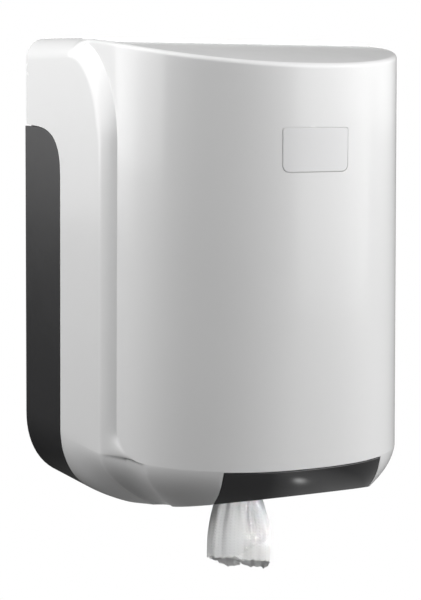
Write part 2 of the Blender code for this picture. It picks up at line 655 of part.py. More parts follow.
def cover_shell(parts, cutters):
    """The white cover: the skin less the space inside it, less the housing's share of the sides, the opening
    under the roll with the lip's notch, the hinge slots and the plate's recess."""
    shell = skin_solid("cover_shell", parts, 0.0, COVER_REAR_GAP)
    hollow = hide_cutter(skin_solid("cover_hollow", cutters, WALL, -0.005))
    cut(shell, hollow)
    edge = cover_side_edge()
    start = -CUTTER_REACH / 2
    floor_z = UNDERSIDE - WALL
    outline = [(start, -WALL, floor_z), (start, BASE_DEPTH + SEAM, floor_z)]
    outline += [(start, d, z) for d, z in reversed(edge)]
    outline += [(start, -WALL, edge[0][1])]
    sides = hide_cutter(extrude_outline("housing_cut", cutters, outline, (CUTTER_REACH, 0, 0)))
    plan = [(-OPENING_REAR / 2, BASE_DEPTH - WALL), (-OPENING_REAR / 2, BASE_DEPTH)]
    plan += [(-LIP_WIDTH / 2, OPENING_TAPER_DEPTH), (-LIP_WIDTH / 2, DEPTH + WALL)]
    plan += [(-x, d) for x, d in reversed(plan)]
    notch_top = SKIRT - NOTCH_GAP - floor_z
    under = extrude_outline("opening_cut", cutters, [(x, d, floor_z) for x, d in plan], (0, 0, notch_top))
    cut(shell, sides, hide_cutter(under))
    for side in (-1, 1):
        inner = side * (HINGE_SPREAD / 2 - ARM_THICKNESS - HINGE_GAP)
        outer = side * (HINGE_SPREAD / 2 + HINGE_GAP / 2)
        low = (inner, -0.01, HINGE_Z - 0.001)
        slot = box("hinge_slot", cutters, low, (outer, HINGE_DEPTH + SLOT_DEPTH, TOP + 0.01))
        cut(shell, hide_cutter(slot))
        join(shell, make_ear(parts, side))
        pin_hole = cylinder("pin_hole", cutters, (side * HINGE_SPREAD / 2, HINGE_DEPTH, HINGE_Z),
                            PIN_RADIUS + FIT, 0.03, "X", 20)
        cut(shell, hide_cutter(pin_hole))
    join(shell, make_hook(parts))
    low = UNDERSIDE + PLATE_CENTRE - PLATE_HEIGHT
    high = UNDERSIDE + PLATE_CENTRE + PLATE_HEIGHT
    recess = skin_patch("recess_cut", cutters, PLATE_WIDTH, low, high, -0.004, PLATE_RECESS, 24, 1)
    grown = [(x, DEPTH + 0.01, z) for x, z in plate_outline(FIT)]
    frame = extrude_outline("recess_frame", cutters, grown, (0, -0.05, 0))
    apply_boolean(recess, frame, "INTERSECT")
    hide_cutter(frame)
    cut(shell, hide_cutter(recess))
    return finish(shell, WHITE)


def name_plate(parts, cutters):
    """The blank plate in the cover's recess, standing a hair proud of it."""
    low = UNDERSIDE + PLATE_CENTRE - PLATE_HEIGHT
    high = UNDERSIDE + PLATE_CENTRE + PLATE_HEIGHT
    plate = skin_patch("blank_plate", parts, PLATE_WIDTH, low, high, -0.0002, PLATE_RECESS - FIT, 24, 1)
    outline = [(x, DEPTH + 0.01, z) for x, z in plate_outline(0.0)]
    frame = extrude_outline("plate_frame", cutters, outline, (0, -0.05, 0))
    apply_boolean(plate, frame, "INTERSECT")
    hide_cutter(frame)
    return finish(plate, PLATE_GREY)


def housing_profile(inset, top):
    """Front view of the housing's trough from its left top round the bottom to its right top, as (x, z)."""
    start = UNDERSIDE + CORNER_HEIGHT
    turns = np.linspace(0, np.pi / 2, 17)
    heights = [start - (CORNER_HEIGHT - inset) * math.sin(turn) for turn in turns]
    right = [(half_width(z) - inset - float(lower_inset(SKIRT - z, 0.0, inset)), z) for z in heights]
    right.insert(0, (half_width(top) - inset, top))
    return [(-x, z) for x, z in right] + right[::-1]


def keyhole(cutters, x, z):
    """A wall screw's keyhole: a round hole for the head with a slot above it."""
    head = cylinder("keyhole_head", cutters, (x, WALL / 2, z), KEYHOLE_HEAD, 4 * WALL, "Y", 20)
    slot = box("keyhole_slot", cutters, (x - KEYHOLE_SHANK, -WALL, z),
               (x + KEYHOLE_SHANK, 3 * WALL, z + KEYHOLE_RISE))
    return hide_cutter(head), hide_cutter(slot)


def back_housing(parts, cutters):
    """The dark housing: a trough with the casing's own side and bottom profile, its cheeks rounded off at
    the top, and the back plate that the wall screws hold, with stiffening ribs."""
    tall = UNDERSIDE + CHEEK_TOP + WALL
    outer = housing_profile(0.0, tall)
    inner = housing_profile(WALL, tall)
    ring = [(x, 0.0, z) for x, z in outer + inner[::-1]]
    housing = extrude_outline("back_housing", parts, ring, (0, BASE_DEPTH, 0))
    edge = cheek_edge(0.0)
    start = -CUTTER_REACH / 2
    trim = [(start, d, z) for d, z in edge]
    trim += [(start, BASE_DEPTH + WALL, edge[-1][1]), (start, BASE_DEPTH + WALL, TOP), (start, -WALL, TOP)]
    trim += [(start, -WALL, edge[0][1])]
    cut(housing, hide_cutter(extrude_outline("cheek_cut", cutters, trim, (CUTTER_REACH, 0, 0))))
    shoulder = edge[-1][1]
    plate = [(x, 0.0, z) for x, z in housing_profile(WALL / 2, shoulder)]
    narrow = half_width(shoulder) - WALL - 0.0015
    upper = half_width(UNDERSIDE + BACK_TOP) - WALL - 0.0025
    crown = UNDERSIDE + BACK_TOP
    head = [(narrow, shoulder), (upper, crown - TOP_EDGE_WIDTH), (upper - TOP_EDGE_WIDTH, crown)]
    plate += [(x, 0.0, z) for x, z in head] + [(-x, 0.0, z) for x, z in reversed(head)]
    join(housing, extrude_outline("plate_form", parts, plate, (0, WALL, 0)))
    for column in (-1.5, -0.5, 0.5, 1.5):
        x = column * RIB_SPACING
        low = (x - WALL / 3, WALL / 2, UNDERSIDE + ROLL_GUIDE_HEIGHTS[0] + 0.016)
        high = (x + WALL / 3, WALL + RIB_HEIGHT, UNDERSIDE + ROLL_GUIDE_HEIGHTS[1] - 0.004)
        join(housing, box("rib_form", parts, low, high))
    for height in KEYHOLE_HEIGHTS:
        for side in (-1, 1):
            cut(housing, *keyhole(cutters, side * KEYHOLE_SPACING / 2, UNDERSIDE + height))
    for places in (tray_screw_places(), guide_screw_places(), hinge_screw_places()):
        drill(housing, cutters, places)
    return finish(housing, CHARCOAL)


def tray_screw_places():
    z = TRAY_BOTTOM - TRAY_FLANGE_HEIGHT / 2
    return [((x, WALL + FIT + TRAY_THICKNESS, z), "Y") for x in (-0.075, -0.040, 0.040, 0.075)]


def guide_screw_places():
    depth = WALL + FIT + ROLL_GUIDE_THICKNESS
    return [((x, depth, UNDERSIDE + height + ROLL_GUIDE_FLANGE / 2), "Y")
            for height in ROLL_GUIDE_HEIGHTS for x in (-0.030, 0.030)]


def hinge_screw_places():
    """Two screws in each hinge bracket's foot."""
    middle = UNDERSIDE + BRACKET_FOOT_TOP - BRACKET_FOOT_HEIGHT / 2
    centre = HINGE_SPREAD / 2 - BRACKET_FOOT_WIDTH / 2 - ARM_THICKNESS / 2
    depth = WALL + FIT + WALL
    return [((side * centre, depth, middle + rise), "Y") for side in (-1, 1) for rise in (-0.006, 0.005)]


def drill(item, cutters, places):
    """Clearance holes for screws at the given places."""
    for centre, axis in places:
        hole = cylinder("screw_hole", cutters, centre, SCREW_SHANK_RADIUS + SCREW_CLEARANCE, 0.02, axis, 12)
        cut(item, hide_cutter(hole))


def screws(name, parts, places):
    """Pan-head screws that sit on what they hold, each with its shank behind."""
    for number, ((x, depth, z), axis) in enumerate(places, 1):
        seat = depth + FIT
        centre = (x, seat + SCREW_HEAD_HEIGHT / 2, z)
        screw = cylinder(f"{name}_{number}", parts, centre, SCREW_HEAD_RADIUS, SCREW_HEAD_HEIGHT, axis, 14)
        reach = SCREW_LENGTH + SCREW_HEAD_HEIGHT / 2
        middle = (x, seat + SCREW_HEAD_HEIGHT / 2 - reach / 2, z)
        join(screw, cylinder("shank_form", parts, middle, SCREW_SHANK_RADIUS, reach, axis, 10))
        finish(screw, STEEL)


def roll_tray(parts, cutters):
    """The shelf that the roll stands on: a plate rounded like the roll, its flange on the back plate, two
    webs down to the floor pan, and a ring that centres the roll."""
    rear = WALL + FIT
    widen = math.sqrt(TRAY_RADIUS ** 2 - (TRAY_FRONT_DEPTH - ROLL_DEPTH) ** 2)
    turn = math.degrees(math.asin((TRAY_FRONT_DEPTH - ROLL_DEPTH) / TRAY_RADIUS))
    outline = [(-TRAY_RADIUS, rear)]
    outline += arc_points((0, ROLL_DEPTH), TRAY_RADIUS, 180, 180 - turn, 9)
    outline += [(widen, TRAY_FRONT_DEPTH)]
    outline += arc_points((0, ROLL_DEPTH), TRAY_RADIUS, turn, 0, 9)[1:]
    outline += [(TRAY_RADIUS, rear)]
    floor_outline = [(x, d, TRAY_BOTTOM) for x, d in outline]
    tray = extrude_outline("roll_tray", parts, floor_outline, (0, 0, TRAY_THICKNESS))
    low = (-TRAY_RADIUS, rear, TRAY_BOTTOM - TRAY_FLANGE_HEIGHT)
    high = (TRAY_RADIUS, rear + TRAY_THICKNESS, TRAY_TOP - TRAY_THICKNESS / 2)
    flange = box("flange_form", parts, low, high)
    join(tray, flange)
    for side in (-1, 1):
        x = side * TRAY_WEB_SPREAD / 2
        stations = pan_stations()
        depths = [d for d in stations if d < TRAY_WEB_DEPTH] + [TRAY_WEB_DEPTH]
        gap = PAN_RECESS + PAN_THICKNESS + FIT
        floor = UNDERSIDE + WALL + FIT
        web = [(x, rear, floor), (x, BASE_DEPTH, floor), (x, BASE_DEPTH, UNDERSIDE + gap)]
        floor_heights = [floor_height(s) for s in stations]
        web += [(x, d, float(np.interp(d, stations, floor_heights)) + gap) for d in depths]
        web += [(x, TRAY_WEB_DEPTH, TRAY_TOP - TRAY_THICKNESS / 2), (x, rear, TRAY_TOP - TRAY_THICKNESS / 2)]
        join(tray, extrude_outline("web_form", parts, web, (side * TRAY_WEB_THICKNESS, 0, 0)))
    ring_inner = NOZZLE_FLANGE_RADIUS + FIT
    ring_outer = ROLL_HOLE_RADIUS - 2 * FIT
    crown = TRAY_TOP + GUIDE_RING_HEIGHT
    ring = [(ring_outer - 0.001, crown), (ring_outer, crown - 0.001), (ring_outer, TRAY_BOTTOM + FIT)]
    ring += [(ring_inner, TRAY_BOTTOM + FIT), (ring_inner, crown)]
    centre_boss = revolve("ring_form", parts, ring, (0, ROLL_DEPTH), 36)
    hole = cylinder("tray_hole", cutters, (0, ROLL_DEPTH, TRAY_TOP), TRAY_HOLE_RADIUS, 0.02, "Z", 36)
    join(tray, centre_boss)
    cut(tray, hide_cutter(hole))
    drill(tray, cutters, tray_screw_places())
    return finish(tray, GREY)


def lock_pad_height():
    """Height of the lock's flat pad, just above the floor's curve at the lock."""
    return float(floor_height(LOCK_DEPTH)) + LOCK_PAD_STEP


def pan_stations():
    """Depths of the floor pan's facets, from behind the housing's edge to the lip."""
    return np.linspace(BASE_DEPTH + SEAM, float(barrel_depth(0.0, lip_bottom(0.0))), 12)


def underside_pan(parts, cutters):
    """The dark floor between the cover's edges: the casing's floor line drawn out across, trimmed to the
    opening's plan, with the towel's hole and a flat pad for the lock."""
    depths = pan_stations()
    lower = [(-OPENING_REAR / 2, d, floor_height(d) + PAN_RECESS) for d in depths]
    upper = [(x, d, z + PAN_THICKNESS) for x, d, z in reversed(lower)]
    pan = extrude_outline("underside_pan", parts, lower + upper, (OPENING_REAR, 0, 0))
    plan = [(-opening_half(d, SEAM), d) for d in (BASE_DEPTH, OPENING_TAPER_DEPTH)]
    front_x = np.linspace(-1, 0, 6) * opening_half(DEPTH, SEAM)
    plan += [(x, float(barrel_depth(x, lip_bottom(x), WALL)) - SEAM) for x in front_x]
    plan += [(-x, d) for x, d in reversed(plan[:-1])]
    base = UNDERSIDE - WALL
    trim = extrude_outline("pan_plan", cutters, [(x, d, base) for x, d in plan], (0, 0, SKIRT_HEIGHT))
    apply_boolean(pan, hide_cutter(trim), "INTERSECT")
    hole = cylinder("towel_hole", cutters, (0, ROLL_DEPTH, UNDERSIDE), PAN_HOLE_RADIUS, 0.03, "Z", 36)
    cut(pan, hide_cutter(hole))
    face = lock_pad_height()
    pad_middle = (0, LOCK_DEPTH, face + LOCK_PAD_THICKNESS / 2)
    pad = cylinder("pad_form", parts, pad_middle, LOCK_PAD_RADIUS, LOCK_PAD_THICKNESS, "Z", 28)
    below = (0, LOCK_DEPTH, face - LOCK_BODY_LENGTH / 2)
    pocket_radius = LOCK_FLANGE_RADIUS + PAN_THICKNESS / 3
    pocket = cylinder("lock_pocket", cutters, below, pocket_radius, LOCK_BODY_LENGTH, "Z", 28)
    bore = cylinder("lock_bore", cutters, (0, LOCK_DEPTH, face), LOCK_BODY_RADIUS + FIT,
                    3 * LOCK_BODY_LENGTH, "Z", 28)
    join(pan, pad)
    cut(pan, hide_cutter(pocket), hide_cutter(bore))
    return finish(pan, CHARCOAL)


def front_lip(parts):
    """The glossy dark lip that fills the cover's notch, flush with the band under the barrel."""
    half = LIP_WIDTH / 2 - SEAM
    low = lip_bottom(np.linspace(-half, half, 17))
    high = SKIRT - NOTCH_GAP - SEAM
    return finish(skin_patch("front_lip", parts, half, low, high, 0.0, WALL, 16, 8), GLOSS_CHARCOAL)


def hinge_bracket(parts, cutters, side, label):
    """A bracket with a foot on the back plate and an arm out to the hinge pin."""
    rear = WALL + FIT
    outer = HINGE_SPREAD / 2
    foot_high = UNDERSIDE + BRACKET_FOOT_TOP
    foot_low = foot_high - BRACKET_FOOT_HEIGHT
    low = (side * (outer - BRACKET_FOOT_WIDTH), rear, foot_low)
    foot = box(f"hinge_bracket_{label}", parts, low, (side * outer, rear + WALL, foot_high))
    curve = arc_points((HINGE_DEPTH, HINGE_Z), BRACKET_RADIUS, 150, -30, 13)
    arm = [(rear + FIT, foot_low + 0.002), (rear + FIT, foot_high - 0.001), *curve]
    points = [(side * (outer - ARM_THICKNESS), d, z) for d, z in arm]
    join(foot, extrude_outline("arm_form", parts, points, (side * ARM_THICKNESS, 0, 0)))
    pin_hole = cylinder("bracket_hole", cutters, (side * HINGE_SPREAD / 2, HINGE_DEPTH, HINGE_Z),
                        PIN_RADIUS + FIT, 0.03, "X", 20)
    cut(foot, hide_cutter(pin_hole))
    places = [place for place in hinge_screw_places() if place[0][0] * side > 0]
    drill(foot, cutters, places)
    return finish(foot, GREY)


def hinge_pin(parts, side, label):
    """A steel pin through the bracket's arm and the cover's ear."""
    inner = HINGE_SPREAD / 2 - ARM_THICKNESS - HINGE_GAP
    outer = HINGE_SPREAD / 2 + 2 * HINGE_GAP + EAR_THICKNESS
    centre = (side * (inner + outer) / 2, HINGE_DEPTH, HINGE_Z)
    pin = cylinder(f"hinge_pin_{label}", parts, centre, PIN_RADIUS, outer - inner, "X", 20)
    return finish(pin, STEEL)


def roll_guide(parts, cutters, height, label):
    """A shelf on the back plate, hollowed to the roll's round back, with a screwed flange."""
    z = UNDERSIDE + height
    radius = ROLL_RADIUS + ROLL_GUIDE_GAP
    half = ROLL_GUIDE_WIDTH / 2
    rear = WALL + FIT
    swing = math.degrees(math.asin(half / radius))
    outline = [(-half, rear)]
    outline += arc_points((0, ROLL_DEPTH), radius, 270 - swing, 270 + swing, 15)
    outline += [(half, rear)]
    points = [(x, d, z) for x, d in outline]
    guide = extrude_outline(f"roll_guide_{label}", parts, points, (0, 0, ROLL_GUIDE_THICKNESS))
    low = (-half, rear, z + ROLL_GUIDE_THICKNESS / 2)
    flange = box("guide_flange", parts, low, (half, rear + ROLL_GUIDE_THICKNESS, z + ROLL_GUIDE_FLANGE))
    join(guide, flange)
    own_places = [place for place in guide_screw_places() if abs(place[0][2] - z) < ROLL_GUIDE_FLANGE]
    drill(guide, cutters, own_places)
    return finish(guide, GREY)


def nozzle_outer(z):
    """Outer radius of the nozzle below its flange: straight through the tray, then a cone to its mouth."""
    share = min(1.0, max(0.0, (TRAY_TOP - NOZZLE_STRAIGHT - z) / (NOZZLE_LENGTH - NOZZLE_STRAIGHT)))
    return NOZZLE_NECK_RADIUS + (NOZZLE_MOUTH_RADIUS - NOZZLE_NECK_RADIUS) * share


def nozzle(parts):
    """The funnel that the towel is pulled through, seated in the tray's hole by its flange."""
    seat = TRAY_TOP + FIT
    crown = seat + NOZZLE_FLANGE_THICKNESS
    mouth = TRAY_TOP - NOZZLE_LENGTH
    shoulder = TRAY_TOP - NOZZLE_STRAIGHT
    outside = [(NOZZLE_FLANGE_RADIUS, crown), (NOZZLE_FLANGE_RADIUS, seat), (NOZZLE_NECK_RADIUS, seat)]
    outside += [(NOZZLE_NECK_RADIUS, shoulder), (NOZZLE_MOUTH_RADIUS, mouth)]
    inside = [(NOZZLE_MOUTH_RADIUS - NOZZLE_WALL, mouth), (NOZZLE_NECK_RADIUS - NOZZLE_WALL, shoulder)]
    inside += [(NOZZLE_NECK_RADIUS - NOZZLE_WALL, crown - 0.001), (NOZZLE_NECK_RADIUS - 0.001, crown)]
    return finish(revolve("nozzle", parts, outside + inside, (0, ROLL_DEPTH), 36), CHARCOAL)


def nozzle_ring(parts):
    """The ring under the tray that keeps the nozzle in its hole and turns with it."""
    top = TRAY_BOTTOM - FIT
    inner = NOZZLE_NECK_RADIUS + FIT
    outer = inner + NOZZLE_RING_WIDTH
    profile = [(outer, top), (outer, top - NOZZLE_RING_THICKNESS)]
    profile += [(inner, top - NOZZLE_RING_THICKNESS), (inner, top)]
    return finish(revolve("nozzle_ring", parts, profile, (0, ROLL_DEPTH), 36), GREY)


def lock_parts(parts, cutters):
    """The cam lock: body, nut, turning plug with a key slot, cam and the cam's screw."""
    centre = (0, LOCK_DEPTH)
    face = lock_pad_height() - FIT
    flange_low = face - LOCK_FLANGE_THICKNESS
    body_high = face + LOCK_BODY_LENGTH
    bore = LOCK_PLUG_RADIUS + FIT
    profile = [(LOCK_BODY_RADIUS, body_high), (LOCK_BODY_RADIUS, face), (LOCK_FLANGE_RADIUS, face)]
    profile += [(LOCK_FLANGE_RADIUS, flange_low), (bore, flange_low), (bore, body_high)]
    finish(revolve("lock_body", parts, profile, centre, 28), ZINC)
    nut_low = lock_pad_height() + LOCK_PAD_THICKNESS + FIT
    nut = cylinder("lock_nut", parts, (0, LOCK_DEPTH, nut_low + LOCK_NUT_THICKNESS / 2),
                   LOCK_NUT_RADIUS, LOCK_NUT_THICKNESS, "Z", 6)
    opening = cylinder("nut_hole", cutters, (0, LOCK_DEPTH, nut_low), LOCK_BODY_RADIUS + FIT, 0.02, "Z", 28)
    cut(nut, hide_cutter(opening))
    finish(nut, ZINC)
    cam_low = body_high + FIT
    cam_high = cam_low + CAM_THICKNESS
    barrel = cylinder("lock_plug", parts, (0, LOCK_DEPTH, (flange_low + body_high) / 2), LOCK_PLUG_RADIUS,
                      body_high - flange_low, "Z", 24)
    spindle = cylinder("spindle_form", parts, (0, LOCK_DEPTH, (body_high + cam_high) / 2 - 0.0005),
                       CAM_SPINDLE_RADIUS, cam_high - body_high + 0.001, "Z", 24)
    join(barrel, spindle)
    slot = box("key_slot", cutters,
               (-KEY_SLOT_WIDTH / 2, LOCK_DEPTH - KEY_SLOT_LENGTH / 2, flange_low - WALL),
               (KEY_SLOT_WIDTH / 2, LOCK_DEPTH + KEY_SLOT_LENGTH / 2, flange_low + KEY_SLOT_DEPTH))
    cut(barrel, hide_cutter(slot))
    finish(barrel, STEEL)
    cam_outline = arc_points((0, LOCK_DEPTH), CAM_WIDTH / 2 + 0.0015, 180, 360, 13)
    tip = CAM_LENGTH - CAM_WIDTH / 2
    cam_outline += arc_points((0, LOCK_DEPTH + tip), CAM_WIDTH / 2, 0, 180, 9)
    cam = extrude_outline("lock_cam", parts, [(x, d, cam_low) for x, d in cam_outline], (0, 0, CAM_THICKNESS))
    eye = cylinder("cam_hole", cutters, (0, LOCK_DEPTH, cam_low), CAM_SPINDLE_RADIUS + FIT, 0.02, "Z", 24)
    cut(cam, hide_cutter(eye))
    finish(cam, ZINC)
    head_low = cam_high + FIT
    head = cylinder("cam_screw", parts, (0, LOCK_DEPTH, head_low + SCREW_HEAD_HEIGHT / 2), CAM_SCREW_RADIUS,
                    SCREW_HEAD_HEIGHT, "Z", 24)
    finish(head, STEEL)


def paper_roll(parts):
    """The coreless roll, with softly rounded edges."""
    high = ROLL_Z + ROLL_HEIGHT
    soft = 0.003
    profile = [(ROLL_RADIUS - soft, high), (ROLL_RADIUS, high - soft), (ROLL_RADIUS, ROLL_Z + soft)]
    profile += [(ROLL_RADIUS - soft, ROLL_Z), (ROLL_HOLE_RADIUS + soft / 2, ROLL_Z)]
    profile += [(ROLL_HOLE_RADIUS, ROLL_Z + soft / 2), (ROLL_HOLE_RADIUS, high - soft / 2)]
    profile += [(ROLL_HOLE_RADIUS + soft / 2, high)]
    return finish(revolve("paper_roll", parts, profile, (0, ROLL_DEPTH), 48), PAPER)


def towel_tail(parts):
    """The towel that hangs out of the nozzle: a gathered sheet whose folds run down it, narrow in the
    nozzle and spreading to a flat bell below, with a slanted, wavy lower end."""
    columns = 56
    top = UNDERSIDE + TAIL_TOP
    mouth = TRAY_TOP - NOZZLE_LENGTH
    turn = np.linspace(0, 2 * np.pi, columns, endpoint=False)
    ends = UNDERSIDE - (TAIL_LEFT_END + TAIL_RIGHT_END) / 2
    ends = ends - (TAIL_RIGHT_END - TAIL_LEFT_END) / 2 * np.cos(turn)
    ends -= 0.0015 * np.cos(TAIL_FOLDS * turn)
    bm = bmesh.new()
    grid = []
    neck_rows = [top + (mouth - top) * share + 0 * turn for share in (0, 0.25, 0.5, 0.75, 1)]
    for z in neck_rows + [mouth + (ends - mouth) * share for share in np.linspace(0, 1, 13)[1:]]:
        spread = np.clip((mouth - z) / TAIL_SPREAD_HEIGHT, 0, 1)
        spread = np.sin(spread * np.pi / 2) ** 1.15
        wide = TAIL_NECK_RADIUS + (TAIL_HALF_WIDTH - TAIL_NECK_RADIUS) * spread
        deep = TAIL_NECK_RADIUS + (TAIL_HALF_DEPTH - TAIL_NECK_RADIUS) * spread
        fold = 1 - TAIL_FOLD_DEPTH * (1 + np.cos(TAIL_FOLDS * turn)) / 2 * (0.6 + 0.4 * spread)
        x = wide * fold * np.cos(turn)
        depth = ROLL_DEPTH + deep * fold * np.sin(turn)
        grid.append([bm.verts.new((x[k], -depth[k], z[k])) for k in range(columns)])
    for upper, lower in zip(grid, grid[1:]):
        for k in range(columns):
            nxt = (k + 1) % columns
            bm.faces.new((upper[k], upper[nxt], lower[nxt], lower[k]))
    for ring in (grid[0], grid[-1]):
        middle = sum((vertex.co for vertex in ring), Vector()) / columns
        if ring is grid[-1]:
            middle.z += 0.006
        hub = bm.verts.new(middle)
        for k in range(columns):
            bm.faces.new((ring[k], ring[(k + 1) % columns], hub))
    return finish(object_from_bmesh("towel_tail", bm, parts), PAPER, 60.0)


def axis_empty(name, group, centre, children):
    """An empty on a joint's axis that carries the pieces which move about it."""
    pivot = bpy.data.objects.new(name, None)
    pivot.empty_display_size = 0.02
    pivot.location = (centre[0], -centre[1], centre[2])
    group.objects.link(pivot)
    bpy.context.view_layer.update()
    for child in children:
        child.parent = pivot
        child.matrix_parent_inverse = pivot.matrix_world.inverted()


def main():
    clear_scene()
    parts = make_collection("paper_towel_dispenser")
    cutters = make_collection("cutters")
    back_housing(parts, cutters)
    roll_tray(parts, cutters)
    underside_pan(parts, cutters)
    front_lip(parts)
    screws("tray_screw", parts, tray_screw_places())
    screws("guide_screw", parts, guide_screw_places())
    screws("hinge_screw", parts, hinge_screw_places())
    for height, label in zip(ROLL_GUIDE_HEIGHTS, ("lower", "upper")):
        roll_guide(parts, cutters, height, label)
    for side, label in ((-1, "left"), (1, "right")):
        hinge_bracket(parts, cutters, side, label)
        hinge_pin(parts, side, label)
    cover = cover_shell(parts, cutters)
    plate = name_plate(parts, cutters)
    funnel = nozzle(parts)
    ring = nozzle_ring(parts)
    lock_parts(parts, cutters)
    roll = paper_roll(parts)
    tail = towel_tail(parts)
    axis_empty("cover_hinge_axis", parts, (0, HINGE_DEPTH, HINGE_Z), [cover, plate])
    axis_empty("nozzle_axis", parts, (0, ROLL_DEPTH, TRAY_TOP), [funnel, ring])
    lock_pieces = [bpy.data.objects[name] for name in ("lock_plug", "lock_cam", "cam_screw")]
    axis_empty("lock_axis", parts, (0, LOCK_DEPTH, lock_pad_height()), lock_pieces)
    axis_empty("roll_axis", parts, (0, ROLL_DEPTH, ROLL_Z), [roll])
    axis_empty("towel_axis", parts, (0, ROLL_DEPTH, UNDERSIDE), [tail])


main()
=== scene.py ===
"""Looks of the wall-mounted centre-pull paper towel dispenser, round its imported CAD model.

Metres, +Z up. The wall is the plane Y = 0 and the front faces -Y, so a depth is a distance from the wall and
Y = -depth. New surfaces are grids of points worked out with numpy from the casing's own formulas."""

import math

import bmesh
import bpy
import numpy as np
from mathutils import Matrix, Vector


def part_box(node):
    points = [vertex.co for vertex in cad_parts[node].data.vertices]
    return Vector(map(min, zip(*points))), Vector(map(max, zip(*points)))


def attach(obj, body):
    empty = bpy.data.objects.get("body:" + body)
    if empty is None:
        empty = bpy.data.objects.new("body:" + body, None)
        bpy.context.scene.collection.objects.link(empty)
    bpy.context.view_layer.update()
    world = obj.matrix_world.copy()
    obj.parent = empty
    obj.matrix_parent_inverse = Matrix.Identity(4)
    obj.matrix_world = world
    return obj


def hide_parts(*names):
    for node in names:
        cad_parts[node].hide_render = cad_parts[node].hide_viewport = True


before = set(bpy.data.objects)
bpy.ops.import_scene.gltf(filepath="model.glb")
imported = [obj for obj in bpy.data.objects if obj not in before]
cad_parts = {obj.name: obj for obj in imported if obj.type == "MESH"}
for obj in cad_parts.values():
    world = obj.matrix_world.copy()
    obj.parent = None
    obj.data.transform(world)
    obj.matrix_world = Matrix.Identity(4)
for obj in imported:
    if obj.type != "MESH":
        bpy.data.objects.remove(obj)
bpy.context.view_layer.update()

# Casing, as in the part's source
HEIGHT = 0.360
BOTTOM_WIDTH = 0.240
SIDE_DRAFT = 0.0096
DEPTH = 0.2675
WALL = 0.003
TOP_SLOPE = 0.005
TOP_CROWN = 0.019
TOP_CROWN_POWER = 2.8
TOP_EDGE_WIDTH = 0.017
TOP_EDGE_HEIGHT = 0.014
RIM_RADIUS = 0.003
SIDE_FLAT_DEPTH = 0.1567
BAND_DEPTH = 0.0134
BAND_SWELL = 0.09
SIDE_STEP = 0.0072
CORNER_RADIUS = 0.076
CORNER_DROP = 0.0041
BARREL_START = 0.157
BARREL_POWER = 2.29
CORNER_WIDTH = 0.049
CORNER_HEIGHT = 0.057
CORNER_POWER = 2.2
SKIRT_HEIGHT = 0.050
SKIRT_CORNER_HEIGHT = 0.020
SKIRT_CORNER_DEPTH = 0.205
LEAN_STRAIGHT = 0.006
LEAN_CURVED = 0.034
LEAN_START_DEPTH = 0.076
LEAN_FULL_DEPTH = 0.170
LEAN_EXTRA = 0.6
LEAN_EXTRA_END = 0.260
FLOOR_FLAT_DEPTH = 0.090
FLOOR_RISE = 0.024
FLOOR_RUN = 0.1515
FLOOR_POWER = 1.5
BASE_DEPTH = 0.076
CHEEK_TOP = 0.290
CHEEK_ROUND = 0.045
CHEEK_POWER = 3.2
SEAM = 0.0006
COVER_REAR_GAP = 0.0025
OPENING_REAR = 0.160
OPENING_TAPER_DEPTH = 0.200
LIP_WIDTH = 0.130
NOTCH_GAP = 0.0008
HINGE_DEPTH = 0.014
HINGE_Z = 0.1725
HINGE_SPREAD = 0.180
HINGE_GAP = 0.0010
PIN_HOLE_RADIUS = 0.00205
EAR_RADIUS = 0.005
EAR_THICKNESS = 0.004
SLOT_INNER = 0.085
SLOT_OUTER = 0.0905
SLOT_FRONT = 0.0205
ROLL_DEPTH = 0.149
ROLL_RADIUS = 0.098
ROLL_HOLE_RADIUS = 0.031
ROLL_LOW = -0.106
ROLL_HIGH = 0.129
HOOK_OFFSET = 0.011
HOOK_THICKNESS = 0.003
HOOK_RAIL_HEIGHT = 0.007
HOOK_POST_FRONT = 0.2085
HOOK_POST_REAR = 0.2045
HOOK_POST_DROP = 0.0055
ROLL_SWING_GAP = 0.003
PLATE_WIDTH = 0.0525
PLATE_HEIGHT = 0.0307
PLATE_Z = 0.0960
PLATE_RECESS = 0.0008
PLATE_TOP_RADIUS = 0.0015
PLATE_CORNER_RADIUS = 0.0050
NOZZLE_MOUTH_Z = -0.1603
UNDERSIDE = -HEIGHT / 2
TOP = HEIGHT / 2
SKIRT = UNDERSIDE + SKIRT_HEIGHT
CORNER_DEPTH = SIDE_FLAT_DEPTH + BAND_DEPTH - CORNER_RADIUS
CORNER_Z = TOP - CORNER_RADIUS - CORNER_DROP

# Fineness of the cover's skin: stations round it, levels up it, and steps where a place is found by halving
SIDE_STATIONS = 20
BAND_STATIONS = 12
FLANK_STATIONS = 26
FRONT_STATIONS = 28
LOWER_LEVELS = 26
SKIRT_CORNER_LEVELS = 14
UPRIGHT_LEVELS = 16
CHEEK_LEVELS = 26
CROWN_LEVELS = 24
EDGE_LEVELS = 10
HALVINGS = 40

# Sizes of the cover's skin, ears and plate that only the looks need, with angles in degrees
SIDE_FLAT_TOP = 0.1225
CREASE_HALF_TURN = 15.0
CORNER_HOLLOW = 0.30
STEEPEST_SINE = 0.9995
LEVEL_GAP_BELOW = 0.001
LEVEL_GAP_ABOVE = 0.0005
SLOT_TOLERANCE = 0.0008
EAR_ARC = (160.0, 340.0)
EAR_ROOT = 0.015
PLATE_GAP = 0.0003
PLATE_WINDOW_STATIONS = 11
PLATE_WINDOW_BELOW = 0.004
PLATE_WINDOW_ABOVE = 0.003
PLATE_SHRINK = 0.00002
PLATE_ROUNDING = 0.00035
PLATE_ROUNDING_SPAN = 0.012
PLATE_PROUD = 0.00025
PLATE_BACK = 0.0005
PLATE_POINTS = 96
CRISP_REACH = 0.080
ON_LINE = 2e-5
ON_LEVEL = 1e-6

